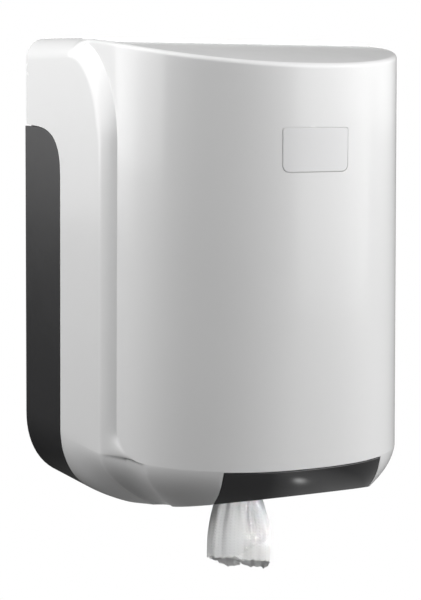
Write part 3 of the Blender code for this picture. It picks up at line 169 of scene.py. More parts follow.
# Roll and towel, with angles in degrees
ROLL_EDGE = 0.003
ROLL_HOLE_EDGE = 0.0015
SHEET_STEP = 0.0005
ROLL_UNEVEN_BAND = 0.02
TOWEL_NECK = 0.0149
TOWEL_HALF_WIDTH = 0.0286
TOWEL_HALF_DEPTH = 0.0158
TOWEL_END_HALF = 0.0275
TOWEL_TOP = UNDERSIDE + 0.105
TOWEL_OPENING_START = NOZZLE_MOUTH_Z - 0.001
TOWEL_OPENING_HEIGHT = 0.052
TOWEL_START_TURN = -73.0
TOWEL_TURNS = 630.0
TOWEL_SPIRAL = 0.20
TOWEL_INNER_LIFT = 0.006
TOWEL_SHIFT = 0.0012
TOWEL_NECK_LEAN = 15.0
TOWEL_THICKNESS = 0.00025

# The towel's lower end: distances from the middle, to the right, each with the end's height there
FRONT_END = [(-0.0275, -0.2205), (-0.012, -0.2205), (0.0, -0.2238), (0.014, -0.2258), (0.0275, -0.2312)]
REAR_END = [(-0.0275, -0.2215), (-0.010, -0.2322), (0.0, -0.2357), (0.0275, -0.2374)]
INNER_FRONT_END = [(-0.026, -0.2192), (-0.0085, -0.2192), (0.0105, -0.2119), (0.026, -0.2118)]

# The towel's valleys: angle and width in degrees, and depth as a share of the radius at the neck and at the
# end. The front is at 90 degrees and the right-hand side at 0.
VALLEYS = [(142, 8, 0.12, 0.050), (71, 7, 0.18, 0.050), (105, 9, 0.10, 0.0), (40, 8, 0.14, 0.02),
           (8, 9, 0.24, 0.03), (172, 9, 0.03, 0.01), (205, 9, 0.28, 0.10), (235, 9, 0.28, 0.12),
           (262, 9, 0.28, 0.10), (290, 9, 0.28, 0.12), (320, 9, 0.28, 0.10), (345, 8, 0.2, 0.04)]
LEANING_VALLEYS_BELOW = 100

# Spacing of the tissue's dots and of the rings of wound sheet
TISSUE_DOT_SPACING = 0.0034
WOUND_RING_SPACING = 0.0008

# Screws and hinge pins
SCREW_HEAD = 0.0033
SCREW_RISE = 0.0018
SCREW_SHANK = 0.0015
SCREW_LENGTH = 0.0055
CROSS_ARM = 0.13
CROSS_REACH = 0.55
CROSS_DEPTH = 0.0009
PIN_RADIUS = 0.00175
PIN_BEVEL = 0.0003
PIN_INWARD = 0.005
PIN_OUTWARD = 0.006

# Limits for merging points, dropping edges and, in degrees, joining flat faces
MERGE_DISTANCE = 2e-6
DEGENERATE_EDGE = 1e-7
CAD_MERGE_DISTANCE = 1e-5
FLAT_FACE_ANGLE = 0.6


# Meshes

def place(x, depth, z):
    """Points of the shared frame from arrays of distances across, depths and heights that go together."""
    x, depth, z = np.broadcast_arrays(x, depth, z)
    return np.stack([x, -depth, z], axis=-1)


def grid_patch(points, skip=None):
    """Quads over a grid of points, rows by columns. Cells marked in skip stay open."""
    rows, columns = points.shape[:2]
    index = np.arange(rows * columns).reshape(rows, columns)
    quads = np.stack([index[:-1, :-1], index[:-1, 1:], index[1:, 1:], index[1:, :-1]], axis=-1)
    quads = quads.reshape(-1, 4) if skip is None else quads[~skip]
    return points.reshape(-1, 3), quads


def ribbon(first, second):
    """One row of quads between two lines of equally many points."""
    return grid_patch(np.stack([first, second]))


def flat_patch(outline):
    """One flat face within an outline."""
    return outline, np.arange(len(outline))[None, :]


def closed(line):
    """A line of points run back to its start."""
    return np.concatenate([line, line[:1]])


def prism(outline, shift):
    """A flat outline drawn out by a shift, with both ends closed."""
    other = outline + shift
    return [flat_patch(outline), flat_patch(other), ribbon(closed(outline), closed(other))]


def holed_prism(outline, hole, shift):
    """The same, with a hole whose points match the outline's one for one."""
    patches = [ribbon(closed(outline), closed(hole)), ribbon(closed(outline + shift), closed(hole + shift))]
    return patches + [ribbon(closed(line), closed(line + shift)) for line in (outline, hole)]


def smooth(share):
    """A smooth step from 0 to 1: three times the square of the share less twice its cube."""
    return share * share * (3 - 2 * share)


def halved(near, far, inside):
    """Two arrays closed in on the border between near, where the test holds, and far, by halving."""
    for _ in range(HALVINGS):
        middle = (near + far) / 2
        holds = inside(middle)
        near, far = np.where(holds, middle, near), np.where(holds, far, middle)
    return near, far


def mesh_from(name, patches):
    """One mesh from patches, with their shared points merged and faces turned outward."""
    points = np.concatenate([patch[0] for patch in patches])
    starts = np.cumsum([0] + [len(patch[0]) for patch in patches])
    faces = [face for patch, start in zip(patches, starts) for face in (patch[1] + start).tolist()]
    mesh = bpy.data.meshes.new(name)
    mesh.from_pydata(points.tolist(), [], faces)
    bm = bmesh.new()
    bm.from_mesh(mesh)
    bmesh.ops.remove_doubles(bm, verts=bm.verts, dist=MERGE_DISTANCE)
    bmesh.ops.dissolve_degenerate(bm, edges=bm.edges, dist=DEGENERATE_EDGE)
    bmesh.ops.recalc_face_normals(bm, faces=bm.faces)
    bm.to_mesh(mesh)
    bm.free()
    return mesh


def crisp_lines(mesh, rules, soft_rule):
    """Mark as sharp the edges whose two ends both satisfy one of the rules on (half-width, depth, z), and as
    smooth those that satisfy the soft rule."""
    points = np.empty(len(mesh.vertices) * 3)
    mesh.vertices.foreach_get("co", points)
    x, y, z = points.reshape(-1, 3).T
    ends = np.empty(len(mesh.edges) * 2, dtype=int)
    mesh.edges.foreach_get("vertices", ends)
    ends = ends.reshape(-1, 2)
    sharp = np.zeros(len(mesh.edges), dtype=bool)
    mesh.edges.foreach_get("use_edge_sharp", sharp)
    for rule in rules:
        marked = rule(np.abs(x), -y, z)
        sharp |= marked[ends[:, 0]] & marked[ends[:, 1]]
    marked = soft_rule(np.abs(x), -y, z)
    sharp &= ~(marked[ends[:, 0]] & marked[ends[:, 1]])
    mesh.edges.foreach_set("use_edge_sharp", sharp)


def new_object(name, data):
    """An object of the scene with its data."""
    made = bpy.data.objects.new(name, data)
    bpy.context.scene.collection.objects.link(made)
    return made


def new_piece(name, mesh, material, body, node, angle=30.0):
    """A finished piece at the origin: smooth, on its body, standing for its CAD node. Edges that turn by more
    than the angle, in degrees, are sharp."""
    piece = new_object(name, mesh)
    mesh.materials.clear()
    mesh.materials.append(material)
    mesh.shade_smooth()
    mesh.set_sharp_from_angle(angle=math.radians(angle))
    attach(piece, body)
    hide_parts(node)
    return piece


def soften_edges(piece, width, angle=50.0):
    """Round a piece's edges that turn by more than the angle, in degrees."""
    bevel = piece.modifiers.new("edge rounding", "BEVEL")
    bevel.width = width
    bevel.segments = 2
    bevel.limit_method = "ANGLE"
    bevel.angle_limit = math.radians(angle)
    bevel.use_clamp_overlap = True
    bevel.harden_normals = False


def dressed_copy(name, node, material, body, edge):
    """A copy of a CAD node with its loose triangles joined, flat faces made whole, and edges rounded."""
    mesh = bpy.data.objects[node].data.copy()
    bm = bmesh.new()
    bm.from_mesh(mesh)
    bmesh.ops.remove_doubles(bm, verts=bm.verts, dist=CAD_MERGE_DISTANCE)
    bmesh.ops.dissolve_limit(bm, angle_limit=math.radians(FLAT_FACE_ANGLE), verts=bm.verts, edges=bm.edges)
    bm.to_mesh(mesh)
    bm.free()
    soften_edges(new_piece(name, mesh, material, body, node), edge)


# Casing skin

def half_width(z):
    """Half the casing's width, with the moulding draft."""
    return BOTTOM_WIDTH / 2 - SIDE_DRAFT * (z - UNDERSIDE)


def top_height(depth):
    """The crowned top falls towards the front by a straight slope and a power of the depth."""
    share = np.maximum(depth, 0) / DEPTH
    return TOP - TOP_SLOPE * share - TOP_CROWN * share ** TOP_CROWN_POWER


def floor_height(depth):
    """The floor rises towards the front as a power of the depth."""
    return UNDERSIDE + FLOOR_RISE * (np.maximum(depth - FLOOR_FLAT_DEPTH, 0) / FLOOR_RUN) ** FLOOR_POWER


def lower_lean(drop):
    """How far the band under the barrel has leaned in: a straight share and a square share of the drop."""
    share = np.maximum(drop, 0) / SKIRT_HEIGHT
    return LEAN_STRAIGHT * share + LEAN_CURVED * share ** 2


def lower_inset(drop, depth, inset):
    """How far the lower part has drawn in: a quarter superellipse at the rear, the leaning band at the front,
    a smooth change between them, and a fuller lean half-way along."""
    below = np.clip((drop + CORNER_HEIGHT - SKIRT_HEIGHT) / (CORNER_HEIGHT - inset), 0, 1)
    corner = (CORNER_WIDTH - inset) * (1 - (1 - below ** CORNER_POWER) ** (1 / CORNER_POWER))
    share = smooth(np.clip((depth - LEAN_START_DEPTH) / (LEAN_FULL_DEPTH - LEAN_START_DEPTH), 0, 1))
    extra = np.clip((depth - LEAN_START_DEPTH) / (LEAN_EXTRA_END - LEAN_START_DEPTH), 0, 1)
    fuller = LEAN_EXTRA * LEAN_CURVED * np.sin(np.pi * extra) ** 2 * (np.maximum(drop, 0) / SKIRT_HEIGHT) ** 2
    return corner + (lower_lean(drop) + fuller - corner) * share


def crease_depth(z):
    """Depth of the crease between side and barrel: upright, then round a quarter ellipse into the skirt
    edge."""
    turn = np.clip((SKIRT + SKIRT_CORNER_HEIGHT - z) / SKIRT_CORNER_HEIGHT, 0, 1)
    upright = SIDE_FLAT_DEPTH + BAND_DEPTH
    return upright + (SKIRT_CORNER_DEPTH - upright) * (1 - np.sqrt(1 - turn ** 2))


def barrel_depth(x, z, inset=0.0):
    """The barrel's depth at a distance from the middle: a superellipse across, leaned in below its edge."""
    lean = lower_lean(SKIRT - z)
    half = half_width(z) - SIDE_STEP - inset - lean
    share = np.clip(np.abs(x) / half, 0, 1)
    reach = DEPTH - inset - BARREL_START - lean
    return BARREL_START + reach * (1 - share ** BARREL_POWER) ** (1 / BARREL_POWER)


def lip_bottom(x):
    """Height at which the leaning band meets the floor, found by repeated substitution."""
    z = SKIRT - SKIRT_HEIGHT / 2 + 0 * x
    for _ in range(12):
        z = floor_height(barrel_depth(x, z))
    return z


def barrel_point(share, crease, z, inset):
    """A point at a share of the way from the crease to the middle of the front: along the straight flank,
    then round the superellipse. Gives half-width, depth and the outward direction."""
    half = half_width(z) - SIDE_STEP - inset
    reach = DEPTH - inset - BARREL_START
    flank = np.maximum(BARREL_START - crease, 0)
    first = np.arccos(np.clip((crease - BARREL_START) / reach, 0, 1) ** (BARREL_POWER / 2))
    travel = share * (flank + first * reach)
    angle = first * np.clip(1 - (travel - flank) / (first * reach), 0, 1)
    angle = np.where(travel < flank, np.pi / 2, angle)
    x = half * np.sin(angle) ** (2 / BARREL_POWER)
    curved = BARREL_START + reach * np.maximum(np.cos(angle), 0) ** (2 / BARREL_POWER)
    depth = np.where(travel < flank, crease + travel, curved)
    across = (x / half) ** (BARREL_POWER - 1) / half
    forward = (np.maximum(depth - BARREL_START, 0) / reach) ** (BARREL_POWER - 1) / reach
    length = np.hypot(across, forward)
    return x, depth, across / length, forward / length


def opening_half(depth):
    """Half the width of the cover's opening under the roll, tapering to the lip's width."""
    share = np.clip((depth - BASE_DEPTH) / (OPENING_TAPER_DEPTH - BASE_DEPTH), 0, 1)
    return OPENING_REAR / 2 + (LIP_WIDTH - OPENING_REAR) / 2 * share


def cheek_levels():
    """The cover's edge along the dark cheeks, from its lower front to the rear: a quarter superellipse, then
    the circle of the cover's swing behind the hinge. Gives depths and rising heights."""
    turn = np.linspace(np.pi / 2, 0, CHEEK_LEVELS)
    crown = UNDERSIDE + CHEEK_TOP + SEAM
    depth = (BASE_DEPTH + SEAM) * np.sin(turn) ** (2 / CHEEK_POWER)
    height = crown - CHEEK_ROUND + CHEEK_ROUND * np.maximum(np.cos(turn), 0) ** (2 / CHEEK_POWER)
    keep = depth > HINGE_DEPTH
    rear = np.linspace(HINGE_DEPTH, COVER_REAR_GAP, 4)
    swing = HINGE_Z - np.sqrt((HINGE_Z - crown) ** 2 - (rear - HINGE_DEPTH) ** 2)
    return np.concatenate([depth[keep], rear]), np.concatenate([height[keep], swing])


EDGE_DEPTHS, EDGE_HEIGHTS = cheek_levels()


def barrel_stations(inset):
    """Shares of the way from crease to front. One station falls on the notch's side, and an inset skin's
    stations face the outer skin's."""
    low_crease = crease_depth(SKIRT)

    def share_at(target, skin_inset):
        near, far = halved(np.zeros_like(target), np.ones_like(target),
                           lambda share: barrel_point(share, low_crease, SKIRT, skin_inset)[0] > target)
        return (near + far) / 2

    notch = float(share_at(np.array(LIP_WIDTH / 2), 0.0))
    flank = np.linspace(0, notch, FLANK_STATIONS + 1)[1:]
    shares = np.concatenate([flank, np.linspace(notch, 1, FRONT_STATIONS + 1)[1:]])
    if inset == 0.0:
        return shares
    x = barrel_point(shares, low_crease, SKIRT, 0.0)[0]
    widest = barrel_point(0.0, low_crease, SKIRT, 0.0)[0]
    narrowing = np.clip((x - LIP_WIDTH / 2) / (widest - LIP_WIDTH / 2), 0, 1)
    matched = share_at(x - inset * narrowing, inset)
    matched[-1] = 1.0
    return matched


def side_stations():
    """Shares of the way along a flat side, with one at the front end of the hinge slots."""
    slot = (SLOT_FRONT - COVER_REAR_GAP) / (SIDE_FLAT_TOP - COVER_REAR_GAP)
    return np.concatenate([np.linspace(0, slot, 6), np.linspace(slot, 1, SIDE_STATIONS - 5)[1:]])


def contour(stations, inset, flat, crease, band_z, barrel_z, swell):
    """One level's half-widths, with the depths of its flat side, which ends at flat, and of its barrel, which
    starts at the crease. The band between them swells by a half sine."""
    side, band, barrel = stations
    rear = np.interp(band_z[0], EDGE_HEIGHTS, EDGE_DEPTHS)
    crease_x = barrel_point(0.0, crease, band_z[-1], inset)[0]
    side_d = rear + side * (flat - rear)
    drawn = lower_inset(np.minimum(SKIRT - band_z[0], 0), side_d, inset)
    outer_x = half_width(band_z[1:]) - inset
    band_x = outer_x + (crease_x - outer_x[-1]) * (band - np.sin(np.pi * band) * swell)
    barrel_x, barrel_d, _, _ = barrel_point(barrel, crease, barrel_z, inset)
    return np.concatenate([half_width(band_z[0]) - inset - drawn, band_x, barrel_x]), side_d, barrel_d


def upright_rows(stations, inset, radii, corner_cut):
    """The corner of the skirt edge and the upright wall, up to where the sides' upper corner starts."""
    band = stations[1]
    flat = CORNER_DEPTH + radii[0]
    turns = np.linspace(np.pi / 2, 0, SKIRT_CORNER_LEVELS)
    levels = [(SKIRT + SKIRT_CORNER_HEIGHT * (1 - math.sin(turn)),
               BAND_SWELL - CORNER_HOLLOW * math.sin(turn) ** 2) for turn in turns]
    plain = np.linspace(SKIRT + SKIRT_CORNER_HEIGHT, EDGE_HEIGHTS[0], UPRIGHT_LEVELS)[1:-1]
    heights = [*plain, *EDGE_HEIGHTS[EDGE_HEIGHTS < CORNER_Z - LEVEL_GAP_BELOW], CORNER_Z]
    levels += [(z, BAND_SWELL) for z in heights]
    rows = []
    for z, swell in levels:
        crease = crease_depth(z) - corner_cut
        band_z = np.full(len(band) + 1, z)
        x, side_d, barrel_d = contour(stations, inset, flat, crease, band_z, z, swell)
        depth = np.concatenate([side_d, flat + band * (crease - flat), barrel_d])
        rows.append((x, depth, np.full(x.shape, z)))
    return rows


def lower_rows(first, stations, inset):
    """The leaning lower part under the first upright row. Each station runs down its own line until it meets
    the floor or the opening, and the levels share out its way by a quarter sine."""
    side, band, _ = stations
    last_band = len(side) + BAND_STATIONS - 1
    x0, d0, _ = first
    half = half_width(SKIRT) - SIDE_STEP - inset
    reach = DEPTH - inset - BARREL_START
    lean_x = np.concatenate([1 + 0 * side, 1 - band * (1 - x0[last_band] / half), x0[last_band + 1:] / half])
    lean_d = np.concatenate([0 * side, band * (d0[last_band] - BARREL_START) / reach,
                             (d0[last_band + 1:] - BARREL_START) / reach])

    def lower_point(drop):
        drawn = lower_inset(drop, d0, inset) - lower_inset(0.0, d0, inset)
        return x0 + lean_x * (SIDE_DRAFT * drop - drawn), d0 - lean_d * drawn, SKIRT - drop

    def inside(drop):
        x, depth, z = lower_point(drop)
        return (z > floor_height(depth) + inset) & (x > opening_half(depth))

    near, _ = halved(0 * x0, SKIRT_HEIGHT + 0 * x0, inside)
    full = np.maximum(near, NOTCH_GAP)
    turns = np.linspace(np.pi / 2, 0, LOWER_LEVELS + 1)[:-1]
    return [lower_point(full * math.sin(turn)) for turn in turns]


def crown_ends(radii, inset):
    """Where the arcs of the sides' upper corner end under the top. Gives each one's share of the way from the
    flat side to the crease, and the angle that it sweeps."""
    ends = np.array([TOP_EDGE_HEIGHT, RIM_RADIUS])
    sweep = np.full(2, np.pi / 2)
    for _ in range(12):
        end_z = top_height(CORNER_DEPTH + radii[[0, -1]] * np.cos(sweep)) - inset - ends
        sweep = np.arcsin(np.clip((end_z - CORNER_Z) / radii[[0, -1]], 0, STEEPEST_SINE))
    first, last = CORNER_DEPTH + radii[[0, -1]] * np.cos(sweep)

    def inside(depth):
        edge_height = TOP_EDGE_HEIGHT + (RIM_RADIUS - TOP_EDGE_HEIGHT) * (depth - first) / (last - first)
        height = top_height(depth) - inset - edge_height - CORNER_Z
        return CORNER_DEPTH + np.sqrt(np.maximum(radii ** 2 - height ** 2, 0)) > depth

    near, _ = halved(first + 0 * radii, last + 0 * radii, inside)
    return (near - first) / (last - first), np.arccos(np.clip((near - CORNER_DEPTH) / radii, 0, 1))


def crown_rows(stations, inset, radii, sweeps):
    """The upper corner of the sides, an arc at each station of the band, with the barrel rising beside it to
    its own top edge, found by repeated substitution."""
    side, _, barrel = stations
    cheek = EDGE_HEIGHTS[EDGE_HEIGHTS > CORNER_Z + LEVEL_GAP_ABOVE]
    shares = np.arcsin((cheek - CORNER_Z) / radii[0]) / sweeps[0]
    shares = np.concatenate([shares, np.linspace(shares[-1], 1, CROWN_LEVELS + 1)[1:]])
    rows = []
    for share in shares:
        band_z = CORNER_Z + radii * np.sin(share * sweeps)
        band_d = CORNER_DEPTH + radii * np.cos(share * sweeps)
        rise = math.sin(share * sweeps[-1]) / math.sin(sweeps[-1])
        barrel_z = band_z[-1] + 0 * barrel
        for _ in range(6):
            x, side_d, barrel_d = contour(stations, inset, band_d[0], band_d[-1], band_z, barrel_z,
                                          BAND_SWELL)
            limit = top_height(barrel_d) - inset - RIM_RADIUS
            barrel_z = CORNER_Z + (limit - CORNER_Z) * rise
        depth = np.concatenate([side_d, band_d[1:], barrel_d])
        rows.append((x, depth, np.concatenate([band_z[0] + 0 * side, band_z[1:], barrel_z])))
    return rows


def edge_rows(last, stations, inset, edge_shares):
    """The rounding from the last row of the crown over to the top: wide at the sides, narrow at the
    barrel."""
    side, band, barrel = stations
    x, depth, z = last
    last_band = len(side) + BAND_STATIONS - 1
    _, _, across, forward = barrel_point(barrel, depth[last_band], z[-1], inset)
    widths = TOP_EDGE_WIDTH + (RIM_RADIUS - TOP_EDGE_WIDTH) * edge_shares
    reach_x = np.concatenate([widths[0] + 0 * side, widths[1:], RIM_RADIUS * across])
    reach_d = np.concatenate([0 * side, 0 * band, RIM_RADIUS * forward])
    rows = []
    for turn in np.linspace(0, np.pi / 2, EDGE_LEVELS + 1)[1:]:
        inward = 1 - math.cos(turn)
        edge_d = depth - reach_d * inward
        height = z + (top_height(edge_d) - inset - z) * math.sin(turn)
        rows.append((x - reach_x * inward, edge_d, height))
    return rows


def skin(inset):
    """Half the cover's skin as arrays of half-width, depth and height, a row a level and a column a station
    from the rear edge round to the middle of the front. Levels: the leaning lower part, the corner of the
    skirt edge, the upright wall, the upper corner of the sides, and the rounding of the top edge."""
    stations = (side_stations(), np.linspace(0, 1, BAND_STATIONS + 1)[1:], barrel_stations(inset))
    corner_cut = inset * math.tan(math.radians(CREASE_HALF_TURN))
    radii = CORNER_RADIUS - BAND_DEPTH * (1 - np.concatenate([[0.0], stations[1]])) - corner_cut
    rows = upright_rows(stations, inset, radii, corner_cut)
    rows = lower_rows(rows[0], stations, inset) + rows
    edge_shares, sweeps = crown_ends(radii, inset)
    rows += crown_rows(stations, inset, radii, sweeps)
    rows += edge_rows(rows[-1], stations, inset, edge_shares)
    return [np.stack([row[axis] for row in rows]) for axis in range(3)]


def both_sides(x, depth, z):
    """A half skin made whole: columns from the left rear edge round the front to the right rear edge."""
    whole_x = np.concatenate([-x, x[:, -2::-1]], axis=1)
    whole_depth, whole_z = (np.concatenate([part, part[:, -2::-1]], axis=1) for part in (depth, z))
    return place(whole_x, whole_depth, whole_z)


# Cover

def plate_outline(grow, count):
    """The plate's rounded rectangle as (x, z), from the middle of its lower side anticlockwise as seen from
    the front: quarter circles joined by straight sides, each side sampled in proportion to its length."""
    half, low = PLATE_WIDTH / 2 + grow, PLATE_Z - PLATE_HEIGHT / 2 - grow
    high = PLATE_Z + PLATE_HEIGHT / 2 + grow
    bottom, top = PLATE_CORNER_RADIUS + grow, PLATE_TOP_RADIUS + grow
    corner = 8
    centres = [(half - bottom, low + bottom, bottom, -90), (half - top, high - top, top, 0),
               (top - half, high - top, top, 90), (bottom - half, low + bottom, bottom, 180)]
    arcs = []
    for x, z, radius, start in centres:
        turn = np.radians(np.linspace(start, start + 90, corner))
        arcs.append(np.stack([x + radius * np.cos(turn), z + radius * np.sin(turn)], axis=-1))
    stops = [np.array([[0.0, low]]), *arcs, np.array([[0.0, low]])]
    gaps = np.array([np.hypot(*(after[0] - before[-1])) for before, after in zip(stops, stops[1:])])
    spare = count - 1 - 4 * corner
    shared = np.round(np.cumsum(np.concatenate([[0], gaps])) / gaps.sum() * spare).astype(int)
    points = []
    for before, after, low_count, high_count in zip(stops, stops[1:], shared, shared[1:]):
        inner = high_count - low_count
        step = np.linspace(0, 1, inner + 2)[1:-1, None]
        points += [before, before[-1] + (after[0] - before[-1]) * step]
    return np.concatenate(points)


def plate_recess(outer, first_row, last_row, first_column, last_column):
    """The cover's front from the border of a window of the grid in to the plate's recess, its wall and its
    floor. Every point is on the barrel, or PLATE_RECESS in from it."""
    window = outer[first_row:last_row + 1, first_column:last_column + 1]
    middle = (window.shape[1] - 1) // 2
    border = np.concatenate([window[0, middle:-1], window[:-1, -1], window[-1, :0:-1], window[:0:-1, 0],
                             window[0, :middle]])
    start = border[:, [0, 2]]
    outline = plate_outline(PLATE_GAP, len(border))
    step = np.linspace(0, 1, 6)[:, None, None]
    x, z = np.moveaxis(closed_columns(start + (outline - start) * step), -1, 0)
    front = place(x, barrel_depth(x, z), z)
    front[0] = closed(border)
    x, z = closed(outline).T
    floor_ring = place(x, barrel_depth(x, z, PLATE_RECESS), z)
    centre = np.array([0.0, PLATE_Z])
    x, z = np.moveaxis(centre + (closed(outline) - centre) * np.linspace(1, 0, 8)[:, None, None], -1, 0)
    floor = place(x, barrel_depth(x, z, PLATE_RECESS), z)
    return [grid_patch(front), ribbon(front[-1], floor_ring), grid_patch(floor)]


def closed_columns(array):
    """An array of points, rows by columns, with its first column repeated at the end."""
    return np.concatenate([array, array[:, :1]], axis=1)


def top_patch(x, depth, z):
    """The top drawn straight across between the skin's upper edges, left open at the hinge slots. Gives its
    grid of points and the cells that are open."""
    widest = x[-1, 0]
    stops = np.concatenate([np.linspace(0, SLOT_INNER, 16), np.linspace(SLOT_INNER, SLOT_OUTER, 3)[1:],
                            np.linspace(SLOT_OUTER, widest, 5)[1:]]) / widest
    across = np.concatenate([-stops[:0:-1], stops])
    points = place(x[-1][:, None] * across, depth[-1][:, None], z[-1][:, None])
    offset = np.abs(across) * widest
    in_slot = (offset > SLOT_INNER - ON_LEVEL) & (offset < SLOT_OUTER + ON_LEVEL)
    cell_across = in_slot[:-1] & in_slot[1:]
    cell_along = depth[-1][1:] < SLOT_FRONT + SLOT_TOLERANCE
    return points, cell_along[:, None] & cell_across[None, :]


def floor_strip(x, depth, z, count):
    """The floor from the skin's lower edge across to the opening, on one side."""
    edge_x, edge_d, edge_z = x[0, :count], depth[0, :count], z[0, :count]
    inner_x = np.minimum(opening_half(edge_d), edge_x)
    step = np.linspace(0, 1, 6)[:, None]
    return edge_x + (inner_x - edge_x) * step, edge_d + 0 * step, edge_z + 0 * step


def hinge_circle(radius, depth):
    """Height of the lower part of a circle about the hinge, at a depth."""
    return HINGE_Z - np.sqrt(radius ** 2 - (depth - HINGE_DEPTH) ** 2)


def latch_hook():
    """The cover's hook: a blade between two circles about the hinge, with a post that stands behind the
    cam."""
    roll_reach = math.sqrt(ROLL_RADIUS ** 2 - HOOK_OFFSET ** 2)
    clear = math.hypot(ROLL_DEPTH + roll_reach - HINGE_DEPTH, HINGE_Z - ROLL_LOW) + ROLL_SWING_GAP
    wall = float(barrel_depth(HOOK_OFFSET, ROLL_LOW, WALL)) + WALL / 2
    upper_d = np.linspace(HOOK_POST_REAR, wall, 20)
    lower_d = np.linspace(wall, HOOK_POST_FRONT, 20)
    lower = hinge_circle(clear + HOOK_RAIL_HEIGHT, lower_d)
    foot = hinge_circle(clear + HOOK_RAIL_HEIGHT, HOOK_POST_REAR) - HOOK_POST_DROP
    depth = np.concatenate([upper_d, lower_d, [HOOK_POST_FRONT, HOOK_POST_REAR]])
    height = np.concatenate([hinge_circle(clear, upper_d), lower, [foot, foot]])
    return prism(place(HOOK_OFFSET, depth, height), np.array([HOOK_THICKNESS, 0, 0]))


def hinge_ear(side):
    """A hinge ear: a round boss about the pin, run up into the top, with the pin's hole."""
    turn = np.radians(np.linspace(*EAR_ARC, 25))
    reach = TOP - WALL / 2
    depth = np.concatenate([HINGE_DEPTH + EAR_RADIUS * np.cos(turn),
                            np.linspace(HINGE_DEPTH + EAR_ROOT, HINGE_DEPTH - EAR_RADIUS, 8)])
    height = np.concatenate([HINGE_Z + EAR_RADIUS * np.sin(turn), np.linspace(reach - 0.0005, reach, 8)])
    away = np.stack([depth - HINGE_DEPTH, height - HINGE_Z])
    away = away / np.hypot(*away) * PIN_HOLE_RADIUS
    inner = side * (HINGE_SPREAD / 2 + HINGE_GAP)
    outline, hole = place(inner, depth, height), place(inner, HINGE_DEPTH + away[0], HINGE_Z + away[1])
    return holed_prism(outline, hole, np.array([side * EAR_THICKNESS, 0, 0]))


def cover_mesh():
    """The white cover: outer and inner skin, the top and floor between their edges, and the rims that join
    them, with the plate's recess, the hinge ears and the latch hook."""
    outer_half, inner_half = skin(0.0), skin(WALL)
    outer, inner = both_sides(*outer_half), both_sides(*inner_half)
    columns = outer_half[0].shape[1]
    front_first = columns - 1 - PLATE_WINDOW_STATIONS
    front_last = columns - 1 + PLATE_WINDOW_STATIONS
    heights = outer[:, front_first:front_last + 1, 2]
    below = PLATE_Z - PLATE_HEIGHT / 2 - PLATE_WINDOW_BELOW
    above = PLATE_Z + PLATE_HEIGHT / 2 + PLATE_WINDOW_ABOVE
    first_row = int(np.nonzero(heights.max(axis=1) < below)[0][-1])
    last_row = int(np.nonzero(heights.min(axis=1) > above)[0][0])
    skip = np.zeros((outer.shape[0] - 1, outer.shape[1] - 1), dtype=bool)
    skip[first_row:last_row, front_first:front_last] = True
    patches = [grid_patch(outer, skip), grid_patch(inner)]
    patches += plate_recess(outer, first_row, last_row, front_first, front_last)
    tops = []
    for half in (outer_half, inner_half):
        points, open_cells = top_patch(*half)
        tops.append(points)
        patches.append(grid_patch(points, open_cells))
    slot_rows = int(open_cells.any(axis=1).sum())
    slot_columns = np.nonzero(open_cells[0])[0]
    for group in np.split(slot_columns, [len(slot_columns) // 2]):
        low, high = group[0], group[-1] + 1
        for line in (np.s_[:slot_rows + 1, low], np.s_[:slot_rows + 1, high], np.s_[slot_rows, low:high + 1]):
            patches.append(ribbon(tops[0][line], tops[1][line]))
    solid = ~open_cells[0]
    for start in np.nonzero(solid)[0]:
        patches.append(ribbon(tops[0][0, start:start + 2], tops[1][0, start:start + 2]))
    notch_column = int(np.nonzero(outer_half[0][LOWER_LEVELS] < LIP_WIDTH / 2 + 1e-5)[0][0])
    for side in (-1, 1):
        strips = []
        for x, depth, z in (outer_half, inner_half):
            strip_x, strip_d, strip_z = floor_strip(x, depth, z, notch_column + 1)
            strips.append(place(side * strip_x, strip_d, strip_z))
            patches.append(grid_patch(strips[-1]))
        patches += [ribbon(strips[0][-1], strips[1][-1]), ribbon(strips[0][:, 0], strips[1][:, 0])]
    notch = np.s_[0, notch_column:outer.shape[1] - notch_column]
    patches.append(ribbon(outer[notch], inner[notch]))
    patches += [ribbon(outer[:, column], inner[:, column]) for column in (0, -1)]
    patches += latch_hook() + hinge_ear(-1) + hinge_ear(1)
    return mesh_from("cover", patches)


def blank_plate_mesh():
    """The plate: rings from its outline to its middle, on the barrel's own curve, a hair proud of it and
    rounded over at the edge by a quarter circle."""
    outline = closed(plate_outline(-PLATE_SHRINK, PLATE_POINTS))
    centre = np.array([0.0, PLATE_Z])
    turn = np.linspace(0, np.pi / 2, 5)
    insets = np.concatenate([PLATE_ROUNDING * (1 - np.sin(turn)), np.zeros(12)])
    edge_scale = 1 - PLATE_ROUNDING / PLATE_ROUNDING_SPAN * (1 - np.cos(turn))
    scale = np.concatenate([edge_scale, np.linspace(0.96, 0, 12)])
    x, z = np.moveaxis(centre + (outline - centre) * scale[:, None, None], -1, 0)
    front = place(x, barrel_depth(x, z) + PLATE_PROUD - insets[:, None], z)
    x, z = np.moveaxis(centre + (outline - centre) * np.linspace(1, 0, 6)[:, None, None], -1, 0)
    rear = place(x, barrel_depth(x, z, PLATE_BACK), z)
    return mesh_from("blank_plate_face", [grid_patch(front), ribbon(front[0], rear[0]), grid_patch(rear)])


def lip_mesh():
    """The lip: the leaning band's own curve between the notch's sides, with an equal wall behind."""
    half = LIP_WIDTH / 2 - SEAM
    x = np.linspace(-half, half, 97)
    share = np.linspace(0, 1, 33)[:, None]
    high = SKIRT - NOTCH_GAP - SEAM
    low = lip_bottom(x)
    z = low + (high - low) * share
    layers = [place(x, barrel_depth(x, z, inset), z) for inset in (0.0, WALL)]
    borders = [np.concatenate([layer[0], layer[1:, -1], layer[-1, -2::-1], layer[-2::-1, 0]])
               for layer in layers]
    return mesh_from("front_lip_gloss", [grid_patch(layer) for layer in layers] + [ribbon(*borders)])


# Paper

